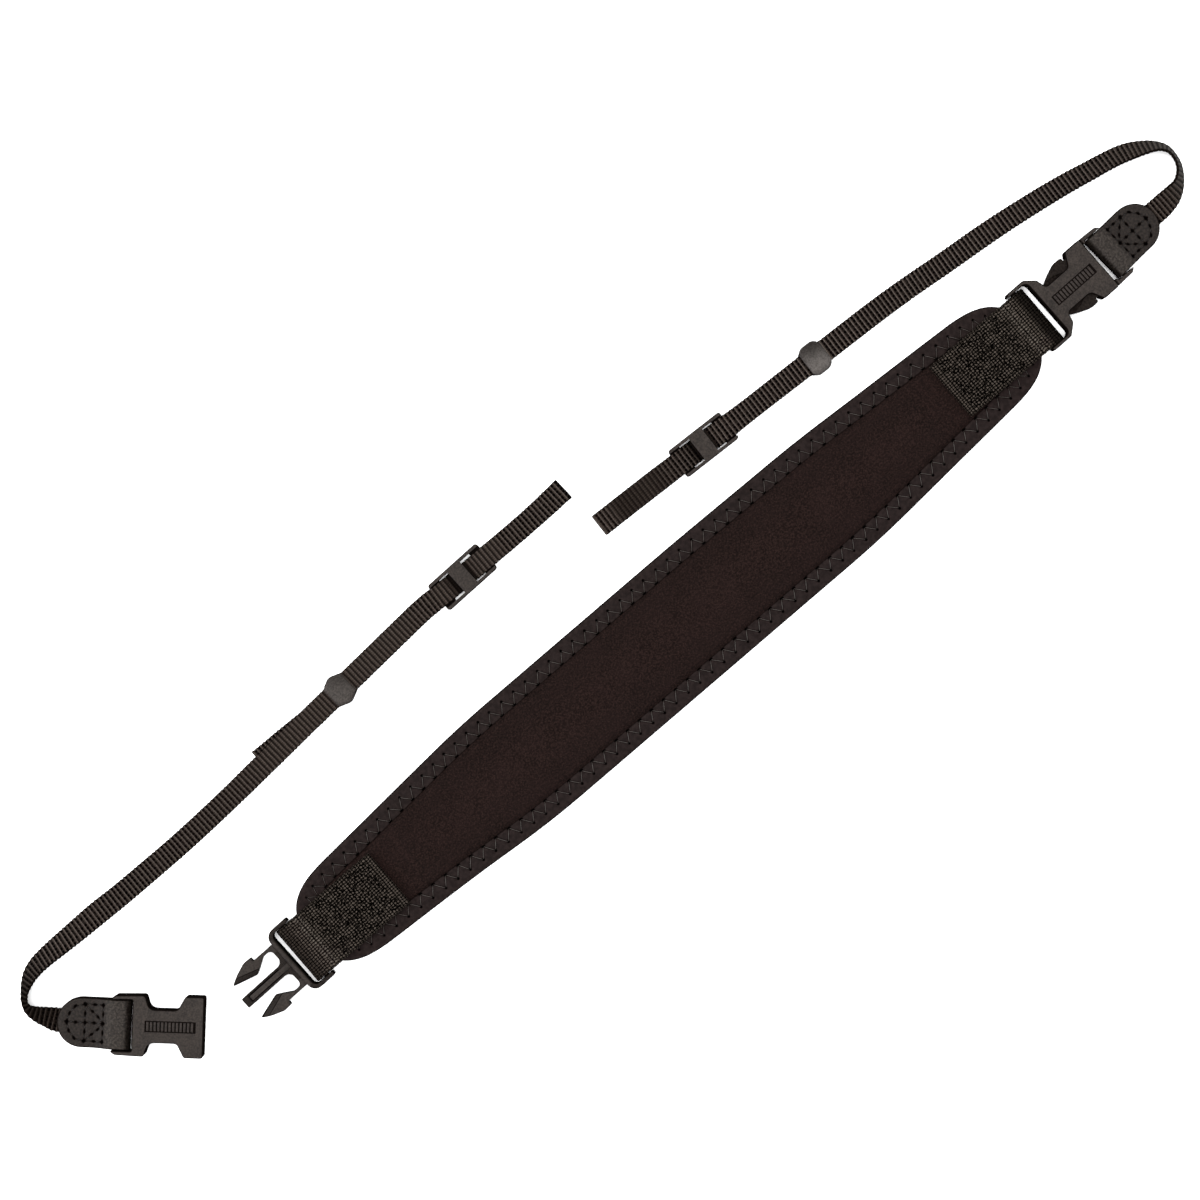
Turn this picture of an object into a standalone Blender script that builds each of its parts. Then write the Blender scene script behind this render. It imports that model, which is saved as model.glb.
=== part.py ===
"""Camera neck strap, laid out flat: a padded neck pad with a webbing tab at each end, two side-release
buckles, two leather tabs and two thin adjustable straps.

Sizes are in millimetres and angles in degrees; each mesh is scaled to metres when it is made.
+X runs along the pad, +Y points towards the thin straps, and the surface that it lies on is z = 0.
The origin is the middle of the pad's underside.
"""

import math
from collections import namedtuple

import bmesh
import bpy
from mathutils import Matrix, Vector

MM = 0.001
GAP = 0.3  # clearance between neighbouring pieces

# Pad
PAD_HALF_WIDTH = 25.4
PAD_THICK = 5.0
TAPER_FROM = 70.0  # the edge starts to lean in here, and runs straight from TAPER_FULL on
TAPER_FULL = 100.0
TAPER_SLOPE = 0.0705
CORNER_FROM = 155.0
CORNER_LENGTH = 25.6
CORNER_POWER = 3.0  # a superellipse: 2 is an ellipse, more is squarer
EDGE_STATIONS = (0, 30, 55, 76, 94, 112, 128, 134, 140, 155)
CORNER_ANGLES = (12, 24, 36, 48, 60, 70, 80, 90)
TAB_SEAT_FROM = 128.0  # the pad thins from here to TAB_SEAT_FULL, where a tab is sewn down
TAB_SEAT_FULL = 140.0
# Where the pad's edge is drawn in a little as it lies: x, side of the middle line, depth, reach
DRAWN_IN = ((90.0, 1, 0.85, 80.0), (-115.0, -1, 0.65, 55.0))

# Binding folded over the pad's edge
BINDING_THICK = 0.8
BINDING_WIDTH = 8.0
RIM_HEIGHT = 3.6
RIM_INSET = BINDING_THICK + GAP
RIM_LEDGE = BINDING_WIDTH + 0.6

# Buckles: x = 0 is the plane where plug and socket meet, and the socket lies on the -x side of it
BUCKLE_THICK = 7.4
BUCKLE_Z = BUCKLE_THICK / 2
CHAMFER = 0.45
BAR_RADIUS = 1.1
BAR_SIDES = 12
MOUTH_HALF = 11.75
WAIST_HALF = 6.35
HOLLOW_DEPTH = 23.3
HOLLOW_HALF = 10.6
HOLLOW_HALF_HEIGHT = 2.5
PANEL_FROM = -22.5
PANEL_TO = -2.9
PANEL_HALF = 2.2
PANEL_DEPTH = 0.3
LEG_OUTER = 10.2
INSERT_HALF_HEIGHT = 2.2  # what enters the socket
WIDE_BAR_IN_SOCKET = -32.2
NARROW_BAR_IN_SOCKET = -32.0
WIDE_BAR_IN_PLUG = 7.55
NARROW_BAR_IN_PLUG = 5.1
WIDE_ARM_INNER = 12.75
NARROW_ARM_INNER = 9.9
FASTENED_SQUEEZE = 0.75  # how far in each prong stays when the buckle is fastened

# Webbing tabs on the pad
TAB_HALF = 12.4
TAB_THICK = 1.2
TAB_LENGTH = 42.8  # from the bar to the sewn end
TAB_WRAP = 2.3  # radius of its middle line round the bar
TAB_LOWER_Z = RIM_HEIGHT + GAP + TAB_THICK / 2

# Leather tabs
LEATHER_HALF = 9.5
LEATHER_THICK = 1.3
LEATHER_WRAP = 2.4
LEATHER_LOWER_Z = LEATHER_THICK / 2

# Thin straps, sliders and keepers
STRAP_HALF = 4.6
STRAP_THICK = 1.1
LAYER_STEP = STRAP_THICK + GAP  # height from one layer's middle to the next one's
LEATHER_UPPER_Z = LEATHER_LOWER_Z + LEATHER_THICK + STRAP_THICK + 2 * GAP + 0.05
STRAP_IN_LEATHER = (LEATHER_LOWER_Z + LEATHER_UPPER_Z) / 2 - STRAP_THICK / 2
ON_KEEPER = 2.6  # how far a keeper holds the upper layer's underside above the surface
ON_SLIDER_END = 2.9
UNDER_SLIDER_BAR = 1.4
SLIDER_HALF_LENGTH = 12.4
SLIDER_HALF_WIDTH = 6.35
SLIDER_RAIL_INNER = 5.1
SLIDER_THICK = 4.4
SLIDER_BAR_HALF = 3.1
SLIDER_BAR_UNDERSIDE = 2.8
SLIDER_END_INNER = 11.2
SLIDER_END_TOP = 1.2
KEEPER_RADIUS = 6.3
KEEPER_HALF_LENGTH = 4.7
KEEPER_THICK = 5.0
KEEPER_WALL = 0.9
KEEPER_HOLE_HALF = STRAP_HALF + 0.35

# Where the pieces lie: (x, y, turn) of each buckle's meeting plane, slider and keeper
PLUG_LEFT_AT = (-192.55, -1.5, 1.2)
SOCKET_LEFT_AT = (-233.3, 1.4, -42.6)
BUCKLE_RIGHT_AT = (217.1, 0.8, 0.8)
SLIDER_LEFT_AT = (-46.0, 68.08, 1.3)
SLIDER_RIGHT_AT = (57.25, 46.47, -2.65)
KEEPER_LEFT_AT = (-109.9, 65.8, 3.62)
KEEPER_RIGHT_AT = (111.6, 43.77, -2.75)
TAB_LEFT_Y = -1.2
TAB_RIGHT_Y = 0.2
LEATHER_LEFT_LENGTH = 24.6  # from the bar to the round tip
LEATHER_LEFT_TURN = 136.7
LEATHER_RIGHT_LENGTH = 24.0
LEATHER_RIGHT_TURN = 3.4
TAIL_LEFT_END_X = -151.6
TAIL_RIGHT_END_X = 155.0

# Each thin strap's upper layer, from inside the leather to its folded end. x and y are its middle line,
# roll is how far it leans on its outer edge, lift is how far it lies above the surface.
Route = namedtuple("Route", "x y roll lift half")
HELD = STRAP_IN_LEATHER
STRAP_LEFT_ROUTE = [
    Route(-263.0, 28.6, 0, HELD, 4.6),
    Route(-268.2, 33.7, 0, HELD, 4.6),
    Route(-272.3, 37.75, 0, HELD, 4.6),
    Route(-274.8, 40.4, 2, 1.45, 4.6),
    Route(-277.0, 43.7, 26, 0.3, 4.6),
    Route(-279.1, 47.2, 44, 0, 4.6),
    Route(-280.1, 50.8, 59, 0, 4.6),
    Route(-279.4, 53.5, 67, 0, 4.6),
    Route(-277.5, 55.9, 67, 0, 4.6),
    Route(-275.1, 57.9, 60, 0, 4.6),
    Route(-271.4, 60.0, 50, 0, 4.6),
    Route(-267.4, 61.1, 43, 0, 4.6),
    Route(-262.5, 61.5, 38, 0, 4.6),
    Route(-255.7, 61.5, 30, 0, 4.6),
    Route(-247.8, 61.4, 21, 0, 4.6),
    Route(-237.8, 61.35, 10, 0, 4.6),
    Route(-225.8, 60.95, 3, 0, 4.45),
    Route(-212.0, 60.85, 0, 0, 4.4),
    Route(-195.0, 60.9, 0, 0, 4.35),
    Route(-180.0, 61.4, 0, 0, 4.35),
    Route(-168.0, 62.0, 0, 0.1, 4.35),
    Route(-159.0, 62.55, 0, 1.0, 4.4),
    Route(-154.5, 62.85, 0, 1.42, 4.4),
    Route(-148.0, 63.25, 0, 1.5, 4.4),
    Route(-138.0, 63.95, 0, 2.1, 4.45),
    Route(-128.0, 64.65, 0, ON_KEEPER, 4.45),
    Route(-124.0, 64.91, 0, ON_KEEPER, 4.45),
    Route(-109.9, 65.8, 0, ON_KEEPER, 4.45),
    Route(-90.0, 67.06, 0, ON_KEEPER, 4.45),
    Route(-72.0, 68.2, 0, ON_KEEPER, 4.45),
    Route(-69.0, 68.38, 0, ON_KEEPER, 4.45),
    Route(-64.5, 68.5, 0, 2.75, 4.45),
    Route(-60.0, 68.38, 0, ON_SLIDER_END, 4.4),
    Route(-56.8, 68.2, 0, ON_SLIDER_END, 4.35),
    Route(-50.2, 68.12, 0, UNDER_SLIDER_BAR, 4.35),
    Route(-42.0, 68.02, 0, UNDER_SLIDER_BAR, 4.3),
    Route(-35.4, 67.95, 0, ON_SLIDER_END, 4.3),
    Route(-32.2, 67.93, 0, ON_SLIDER_END, 4.3),
    Route(-24.0, 67.88, 0, 2.0, 4.3),
    Route(-14.0, 67.93, 0, 1.5, 4.3),
    Route(-5.0, 68.15, 0, UNDER_SLIDER_BAR, 4.4),
    Route(4.45, 68.58, 0, UNDER_SLIDER_BAR, 4.55),
]
STRAP_RIGHT_ROUTE = [
    Route(231.0, 1.2, 0, HELD, 4.6),
    Route(237.0, 1.4, 0, HELD, 4.6),
    Route(243.2, 1.4, 0, HELD, 4.6),
    Route(247.0, 1.35, 2, 1.4, 4.6),
    Route(251.6, 1.5, 13, 0.4, 4.6),
    Route(256.2, 2.1, 34, 0, 4.6),
    Route(260.1, 3.5, 55, 0, 4.6),
    Route(262.7, 5.6, 64, 0, 4.6),
    Route(265.1, 8.9, 68, 0, 4.6),
    Route(266.2, 13.2, 69, 0, 4.6),
    Route(265.8, 17.1, 66, 0, 4.6),
    Route(264.2, 19.6, 63, 0, 4.6),
    Route(262.1, 21.5, 57, 0, 4.6),
    Route(259.1, 23.35, 50, 0, 4.6),
    Route(256.1, 24.9, 43, 0, 4.6),
    Route(251.9, 26.6, 38, 0, 4.6),
    Route(246.0, 28.25, 37, 0, 4.6),
    Route(238.0, 29.95, 34, 0, 4.6),
    Route(229.0, 31.9, 31, 0, 4.6),
    Route(219.5, 33.6, 28, 0, 4.6),
    Route(209.6, 35.15, 25, 0, 4.55),
    Route(199.7, 36.55, 19, 0, 4.45),
    Route(189.8, 37.7, 13, 0, 4.4),
    Route(179.8, 38.65, 8, 0, 4.35),
    Route(169.8, 39.65, 4, 0.2, 4.35),
    Route(162.0, 40.5, 1, 1.0, 4.35),
    Route(156.5, 41.05, 0, 1.42, 4.35),
    Route(150.0, 41.65, 0, 1.5, 4.35),
    Route(140.0, 42.35, 0, 2.1, 4.4),
    Route(130.5, 42.86, 0, ON_KEEPER, 4.4),
    Route(126.5, 43.05, 0, ON_KEEPER, 4.4),
    Route(111.6, 43.77, 0, ON_KEEPER, 4.35),
    Route(96.0, 44.52, 0, ON_KEEPER, 4.3),
    Route(83.0, 45.14, 0, ON_KEEPER, 4.25),
    Route(80.0, 45.29, 0, ON_KEEPER, 4.25),
    Route(75.6, 45.5, 0, 2.75, 4.3),
    Route(71.2, 45.72, 0, ON_SLIDER_END, 4.4),
    Route(68.0, 45.9, 0, ON_SLIDER_END, 4.45),
    Route(61.5, 46.31, 0, UNDER_SLIDER_BAR, 4.5),
    Route(53.3, 46.69, 0, UNDER_SLIDER_BAR, 4.5),
    Route(46.8, 46.99, 0, ON_SLIDER_END, 4.5),
    Route(43.6, 47.13, 0, ON_SLIDER_END, 4.5),
    Route(35.0, 47.6, 0, 2.0, 4.6),
    Route(25.0, 48.1, 0, 1.5, 4.6),
    Route(15.0, 48.55, 0, UNDER_SLIDER_BAR, 4.6),
    Route(7.75, 48.85, 0, UNDER_SLIDER_BAR, 4.6),
]
# How far the left strap's tail lies out to the side of the layer above it: (x, offset)
TAIL_LEFT_OFFSETS = ((-153.0, 2.5), (-148.0, 2.1), (-140.0, 1.4), (-130.0, 0.4), (-126.0, 0.0))

Station = namedtuple("Station", "point across")


# ---------------------------------------------------------------- scene and materials


def clear_scene():
    for old in list(bpy.data.objects):
        bpy.data.objects.remove(old, do_unlink=True)


def new_collection(name):
    collection = bpy.data.collections.new(name)
    bpy.context.scene.collection.children.link(collection)
    return collection


def new_material(name, colour, roughness):
    material = bpy.data.materials.new(name)
    material.use_nodes = True
    shader = material.node_tree.nodes["Principled BSDF"]
    shader.inputs["Base Color"].default_value = (*colour, 1.0)
    shader.inputs["Roughness"].default_value = roughness
    shader.inputs["Metallic"].default_value = 0.0
    return material


clear_scene()
STRAP_PARTS = new_collection("camera_neck_strap")
TOOLS = new_collection("tools")
KNIT = new_material("knit_fabric", (0.014, 0.011, 0.010), 0.9)
BINDING = new_material("stretch_binding", (0.020, 0.018, 0.016), 0.8)
WEBBING = new_material("webbing", (0.030, 0.027, 0.023), 0.75)
LEATHER = new_material("leather", (0.045, 0.038, 0.034), 0.55)
PLASTIC = new_material("moulded_plastic", (0.050, 0.045, 0.041), 0.5)
RUBBER = new_material("keeper_rubber", (0.060, 0.055, 0.050), 0.6)


# ---------------------------------------------------------------- meshes and objects


def mesh_from(bm, name):
    """The bmesh as mesh data in metres, its faces pointing out."""
    bmesh.ops.recalc_face_normals(bm, faces=bm.faces)
    bmesh.ops.scale(bm, vec=(MM, MM, MM), verts=bm.verts)
    mesh = bpy.data.meshes.new(name)
    bm.to_mesh(mesh)
    bm.free()
    return mesh


def add_piece(name, mesh, material, parent=None):
    """One sub-part of the strap, shaded smooth except at its sharp edges."""
    piece = bpy.data.objects.new(name, mesh)
    mesh.materials.append(material)
    mesh.shade_smooth()
    mesh.set_sharp_from_angle(angle=math.radians(35))
    STRAP_PARTS.objects.link(piece)
    piece.parent = parent
    return piece


def add_tool(name, mesh, parent=None):
    """A solid that is only joined to a piece or cut out of it."""
    tool = bpy.data.objects.new(name, mesh)
    TOOLS.objects.link(tool)
    tool.parent = parent
    tool.hide_render = True
    tool.display_type = "WIRE"
    return tool


def combine(piece, operation, tools):
    for tool in tools:
        step = piece.modifiers.new(tool.name, "BOOLEAN")
        step.operation = operation
        step.object = tool
        step.solver = "EXACT"


def add_place(name, at):
    """An empty at (x, y, turn) that the pieces modelled about it are parented to."""
    place = bpy.data.objects.new(name, None)
    place.location = (at[0] * MM, at[1] * MM, 0.0)
    place.rotation_euler = (0.0, 0.0, math.radians(at[2]))
    STRAP_PARTS.objects.link(place)
    return place


def thicken(piece, thick):
    """Gives an open sheet its thickness, half to each side."""
    wall = piece.modifiers.new("thickness", "SOLIDIFY")
    wall.thickness = thick * MM
    wall.offset = 0.0
    wall.use_even_offset = True


def bridge(bm, rows):
    for first, second in zip(rows, rows[1:]):
        for i in range(len(first) - 1):
            bm.faces.new((first[i], first[i + 1], second[i + 1], second[i]))


def box_mesh(name, low, high):
    bm = bmesh.new()
    bmesh.ops.create_cube(bm, size=1.0)
    size = [b - a for a, b in zip(low, high)]
    middle = [(a + b) / 2 for a, b in zip(low, high)]
    bmesh.ops.scale(bm, vec=size, verts=bm.verts)
    bmesh.ops.translate(bm, vec=middle, verts=bm.verts)
    return mesh_from(bm, name)


def disc_mesh(name, radius, low, high, sides, turn=None):
    """A cylinder between two heights, or along another axis if it is turned."""
    bm = bmesh.new()
    bmesh.ops.create_cone(
        bm, cap_ends=True, segments=sides, radius1=radius, radius2=radius, depth=high - low
    )
    bmesh.ops.translate(bm, vec=(0, 0, (low + high) / 2), verts=bm.verts)
    if turn:
        bmesh.ops.transform(bm, matrix=turn, verts=bm.verts)
    return mesh_from(bm, name)


def rounded(corners, step):
    """An outline's points from its corners (x, y, radius): each radius above 0 becomes an arc."""
    points = []
    for i, (x, y, radius) in enumerate(corners):
        corner = Vector((x, y))
        if not radius:
            points.append(corner)
            continue
        to_last = (Vector(corners[i - 1][:2]) - corner).normalized()
        to_next = (Vector(corners[(i + 1) % len(corners)][:2]) - corner).normalized()
        half_angle = to_last.angle(to_next) / 2
        centre = corner + (to_last + to_next).normalized() * radius / math.sin(half_angle)
        start = corner + to_last * radius / math.tan(half_angle) - centre
        end = corner + to_next * radius / math.tan(half_angle) - centre
        sweep = start.angle_signed(end)
        count = max(1, math.ceil(abs(math.degrees(sweep)) / step))
        for k in range(count + 1):
            points.append(centre + Matrix.Rotation(-sweep * k / count, 2) @ start)
    return points


def mirrored(half):
    """A whole outline from the half with y above 0, both ends of which meet the line y = 0."""
    return half + [(x, -y, radius) for x, y, radius in reversed(half)]


def flipped(corners):
    return [(x, -y, radius) for x, y, radius in corners]


def plate_mesh(name, corners, half_height, chamfer=CHAMFER, z=BUCKLE_Z, step=22.5):
    """A flat outline as a 2D curve with chamfered edges, made a mesh and its caps welded."""
    points = rounded(corners, step)
    curve = bpy.data.curves.new(name, "CURVE")
    curve.dimensions = "2D"
    curve.fill_mode = "BOTH"
    curve.extrude = (half_height - chamfer) * MM
    curve.bevel_depth = chamfer * MM
    curve.bevel_resolution = 0
    curve.offset = -chamfer * MM
    spline = curve.splines.new("POLY")
    spline.points.add(len(points) - 1)
    for spot, point in zip(spline.points, points):
        spot.co = (point.x * MM, point.y * MM, 0.0, 1.0)
    spline.use_cyclic_u = True
    drawn = bpy.data.objects.new(name, curve)
    TOOLS.objects.link(drawn)
    bpy.context.view_layer.update()
    graph = bpy.context.evaluated_depsgraph_get()
    mesh = bpy.data.meshes.new_from_object(drawn.evaluated_get(graph))
    bpy.data.objects.remove(drawn)
    bpy.data.curves.remove(curve)
    mesh.transform(Matrix.Translation((0.0, 0.0, z * MM)))
    bm = bmesh.new()
    bm.from_mesh(mesh)
    bmesh.ops.remove_doubles(bm, verts=bm.verts, dist=0.001 * MM)
    bmesh.ops.recalc_face_normals(bm, faces=bm.faces)
    bm.to_mesh(mesh)
    bm.free()
    return mesh


# ---------------------------------------------------------------- pad and binding


def eased(value, start, end):
    """0 before start, 1 after end, and an S-curve between them."""
    t = min(max((value - start) / (end - start), 0.0), 1.0)
    return t * t * (3 - 2 * t)


def pad_half_width(x):
    """Half the pad's width at a distance x from its middle, before the corner takes over."""
    length = TAPER_FULL - TAPER_FROM
    bend = min(max(x - TAPER_FROM, 0.0), length)
    straight = max(x - TAPER_FULL, 0.0)
    return PAD_HALF_WIDTH - TAPER_SLOPE * (bend * bend / (2 * length) + straight)


def pad_outline():
    """Points round the pad from (end, 0) counterclockwise; the i-th and the (-i)-th mirror each other."""
    quarter = [Vector((x, pad_half_width(x))) for x in EDGE_STATIONS]
    for angle in CORNER_ANGLES:
        along = math.sin(math.radians(angle)) ** (2 / CORNER_POWER)
        across = max(math.cos(math.radians(angle)), 0.0) ** (2 / CORNER_POWER)
        x = CORNER_FROM + CORNER_LENGTH * along
        quarter.append(Vector((x, pad_half_width(x) * across)))
    quarter[-1].y = 0.0
    outline = list(reversed(quarter))
    outline += [Vector((-p.x, p.y)) for p in quarter[1:]]
    outline += [Vector((-p.x, -p.y)) for p in reversed(quarter[:-1])]
    outline += [Vector((p.x, -p.y)) for p in quarter[1:-1]]
    for point in outline:
        for middle, side, depth, reach in DRAWN_IN:
            away = abs(point.x - middle) / reach
            if point.y * side > 0 and away < 1:
                point.y -= side * depth * math.cos(away * math.pi / 2) ** 2
    return outline


def swept_rows(bm, outline, section):
    """Rows of vertices: the section, a list of (inset, height), at each point round a closed outline."""
    rows = []
    for i, point in enumerate(outline):
        ahead = outline[(i + 1) % len(outline)] - outline[i - 1]
        inward = Vector((-ahead.y, ahead.x)).normalized()
        spots = [(point + inward * inset, height) for inset, height in section(point)]
        rows.append([bm.verts.new((spot.x, spot.y, height)) for spot, height in spots])
    return rows


def core_section(point):
    """The pad's foam from its top to its underside: a thin rim for the binding, then the full height."""
    thick = PAD_THICK - (PAD_THICK - RIM_HEIGHT) * eased(abs(point.x), TAB_SEAT_FROM, TAB_SEAT_FULL)
    rim_low = RIM_INSET
    rim_high = RIM_HEIGHT - RIM_INSET
    return [
        (12.0, thick),
        (RIM_LEDGE + 1.4, rim_high + 0.75 * (thick - rim_high)),
        (RIM_LEDGE, rim_high),
        (RIM_INSET + 0.5, rim_high),
        (RIM_INSET, (rim_low + rim_high) / 2),
        (RIM_INSET + 0.5, rim_low),
        (RIM_LEDGE, rim_low),
        (RIM_LEDGE + 0.8, 0.0),
    ]


def make_pad():
    bm = bmesh.new()
    outline = pad_outline()
    rows = swept_rows(bm, outline, core_section)
    bridge(bm, rows + rows[:1])
    count = len(outline)
    for side in (0, -1):
        for i in range(count // 2):
            face = [rows[i][side], rows[i + 1][side]]
            face += [rows[j % count][side] for j in (count - i - 1, count - i)]
            bm.faces.new(dict.fromkeys(face))
    add_piece("pad", mesh_from(bm, "pad"), KNIT)


def binding_section(_point):
    """The binding's middle line: over the top, round the edge and back under."""
    half = BINDING_THICK / 2
    top = RIM_HEIGHT - half
    return [
        (BINDING_WIDTH, top),
        (half + 0.9, top),
        (half + 0.25, top - 0.3),
        (half, top - 0.9),
        (half, half + 0.9),
        (half + 0.25, half + 0.3),
        (half + 0.9, half),
        (BINDING_WIDTH, half),
    ]


def make_binding():
    bm = bmesh.new()
    rows = swept_rows(bm, pad_outline(), binding_section)
    bridge(bm, rows + rows[:1])
    piece = add_piece("edge_binding", mesh_from(bm, "edge_binding"), BINDING)
    thicken(piece, BINDING_THICK)


# ---------------------------------------------------------------- strips: tabs, leather and straps


def make_strip(name, stations, thick, material):
    """A flat strip whose middle surface joins the stations' cross lines."""
    bm = bmesh.new()
    rows = [
        [bm.verts.new(station.point - station.across), bm.verts.new(station.point + station.across)]
        for station in stations
    ]
    bridge(bm, rows)
    piece = add_piece(name, mesh_from(bm, name), material)
    thicken(piece, thick)


def wrapped_stations(bar, turn, profile):
    """Stations of a strip folded round a bar at (x, y), from its profile of (distance, height, half)."""
    along = Vector((math.cos(math.radians(turn)), math.sin(math.radians(turn)), 0.0))
    across = Vector((-along.y, along.x, 0.0))
    start = Vector((bar[0], bar[1], 0.0))
    return [
        Station(start + along * distance + Vector((0.0, 0.0, height)), across * half)
        for distance, height, half in profile
    ]


def fold_round_bar(radius, half):
    """Half a turn round the bar, from above it to below it."""
    steps = 8
    turns = [math.pi / 2 + math.pi * k / steps for k in range(steps + 1)]
    return [(radius * math.cos(t), BUCKLE_Z + radius * math.sin(t), half) for t in turns]


def tab_profile():
    over = BUCKLE_Z + TAB_WRAP
    under = BUCKLE_Z - TAB_WRAP
    climb_from, climb_to, steps = 0.9, 4.5, 8
    profile = [(TAB_LENGTH, over, TAB_HALF), (TAB_LENGTH / 2, over, TAB_HALF)]
    profile += fold_round_bar(TAB_WRAP, TAB_HALF)
    for k in range(steps + 1):
        distance = climb_from + (climb_to - climb_from) * k / steps
        height = under + (TAB_LOWER_Z - under) * eased(distance, climb_from, climb_to)
        profile.append((distance, height, TAB_HALF))
    profile += [(TAB_LENGTH / 2, TAB_LOWER_Z, TAB_HALF), (TAB_LENGTH, TAB_LOWER_Z, TAB_HALF)]
    return profile


def leather_profile(length):
    over = BUCKLE_Z + LEATHER_WRAP
    under = BUCKLE_Z - LEATHER_WRAP
    tip = []
    for angle in (84, 72, 60, 48, 36, 24, 12, 0):
        distance = length - LEATHER_HALF + LEATHER_HALF * math.sin(math.radians(angle))
        tip.append((distance, LEATHER_HALF * math.cos(math.radians(angle))))
    profile = [(distance, LEATHER_UPPER_Z, half) for distance, half in tip]
    for distance in (10.5, 9.5, 8.5, 7.5, 6.5, 5.5, 4.5, 3.5, 2.5):
        drop = (over - LEATHER_UPPER_Z) * eased(distance, 2.0, 10.5)
        profile.append((distance, over - drop, LEATHER_HALF))
    profile += fold_round_bar(LEATHER_WRAP, LEATHER_HALF)
    for distance in (1.0, 2.2, 3.4, 4.6, 5.8, 7.0):
        drop = (under - LEATHER_LOWER_Z) * eased(distance, 1.0, 7.0)
        profile.append((distance, under - drop, LEATHER_HALF))
    profile += [(distance, LEATHER_LOWER_Z, half) for distance, half in reversed(tip)]
    return profile


def slopes(positions, values, monotone):
    """A smooth curve's slope at each value; a monotone one never swings past its values."""
    steps = [b - a for a, b in zip(positions, positions[1:])]
    rises = [(b - a) / step for a, b, step in zip(values, values[1:], steps)]
    found = [rises[0]]
    for i in range(1, len(rises)):
        before, after = rises[i - 1], rises[i]
        if not monotone:
            shared = (before * steps[i] + after * steps[i - 1]) / (steps[i - 1] + steps[i])
            found.append(shared)
        elif before * after <= 0:
            found.append(0.0)
        else:
            found.append(2 * before * after / (before + after))
    return found + [rises[-1]]


def smooth_route(route):
    """The route's rows with one or two more between each pair, on smooth curves."""
    ends = [0.0]
    for a, b in zip(route, route[1:]):
        ends.append(ends[-1] + math.dist((a.x, a.y), (b.x, b.y)))
    columns = []
    for name, values in zip(Route._fields, zip(*route)):
        columns.append((values, slopes(ends, values, monotone=name not in ("x", "y"))))
    rows = []
    for i in range(len(route) - 1):
        step = ends[i + 1] - ends[i]
        count = 3 if step > 9.5 else 2
        for k in range(count):
            t = k / count
            row = []
            for values, slope in columns:
                value = values[i] * (1 + 2 * t) * (1 - t) ** 2 + values[i + 1] * t * t * (3 - 2 * t)
                value += step * (slope[i] * t * (1 - t) ** 2 - slope[i + 1] * t * t * (1 - t))
                row.append(value)
            rows.append(Route(*row))
    return rows + [route[-1]]


def upper_layer(route, inner_side):
    """Stations of a strap's upper layer. It leans on its outer edge; inner_side is 1 where the inner
    side of its bend is on the left of its way, and -1 on the right."""
    rows = smooth_route(route)
    stations = []
    for i, row in enumerate(rows):
        before, after = rows[max(i - 1, 0)], rows[min(i + 1, len(rows) - 1)]
        ahead = Vector((after.x - before.x, after.y - before.y, 0.0)).normalized()
        roll = math.radians(row.roll)
        left = Vector((-ahead.y, ahead.x, 0.0))
        across = left * math.cos(roll) + Vector((0.0, 0.0, inner_side * math.sin(roll)))
        height = row.half * math.sin(roll) + STRAP_THICK / 2 * math.cos(roll) + row.lift
        stations.append(Station(Vector((row.x, row.y, height)), across * row.half))
    return stations


def end_fold(last, before):
    """The strap's folded end: half a turn down from the upper layer to the one below."""
    ahead = last.point - before.point
    ahead.z = 0.0
    ahead.normalize()
    radius = LAYER_STEP / 2
    steps = 6
    stations = []
    for k in range(1, steps):
        turn = math.pi * k / steps
        forward = ahead * radius * math.sin(turn)
        down = Vector((0.0, 0.0, radius * (math.cos(turn) - 1)))
        stations.append(Station(last.point + forward + down, last.across))
    return stations


def tail_offset(x, offsets):
    """How far the tail lies out to the side at x, read along the (x, offset) rows."""
    for (x0, offset0), (x1, offset1) in zip(offsets, offsets[1:]):
        if x0 <= x <= x1:
            return offset0 + (offset1 - offset0) * (x - x0) / (x1 - x0)
    return 0.0


def make_thin_strap(name, route, inner_side, tail_end_x, offsets=()):
    """A thin strap: the upper layer, the folded end and the tail that runs back beneath."""
    upper = upper_layer(route, inner_side)
    tail = []
    for station in reversed(upper):
        if abs(station.point.x) > abs(tail_end_x):
            break
        aside = Vector((0.0, tail_offset(station.point.x, offsets), -LAYER_STEP))
        tail.append(Station(station.point + aside, station.across))
    fold = end_fold(upper[-1], upper[-2])
    make_strip(name, upper + fold + tail, STRAP_THICK, WEBBING)


def make_tabs_and_straps():
    profile = tab_profile()
    left_bar = (PLUG_LEFT_AT[0] + WIDE_BAR_IN_PLUG, TAB_LEFT_Y)
    right_bar = (BUCKLE_RIGHT_AT[0] + WIDE_BAR_IN_SOCKET, TAB_RIGHT_Y)
    make_strip("tab_left", wrapped_stations(left_bar, 0, profile), TAB_THICK, WEBBING)
    make_strip("tab_right", wrapped_stations(right_bar, 180, profile), TAB_THICK, WEBBING)

    left_bar = place_on(SOCKET_LEFT_AT, NARROW_BAR_IN_SOCKET)
    left = wrapped_stations(left_bar, LEATHER_LEFT_TURN, leather_profile(LEATHER_LEFT_LENGTH))
    make_strip("leather_left", left, LEATHER_THICK, LEATHER)
    right_bar = place_on(BUCKLE_RIGHT_AT, NARROW_BAR_IN_PLUG)
    right = wrapped_stations(right_bar, LEATHER_RIGHT_TURN, leather_profile(LEATHER_RIGHT_LENGTH))
    make_strip("leather_right", right, LEATHER_THICK, LEATHER)

    make_thin_strap("strap_left", STRAP_LEFT_ROUTE, -1, TAIL_LEFT_END_X, TAIL_LEFT_OFFSETS)
    make_thin_strap("strap_right", STRAP_RIGHT_ROUTE, 1, TAIL_RIGHT_END_X)


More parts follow.
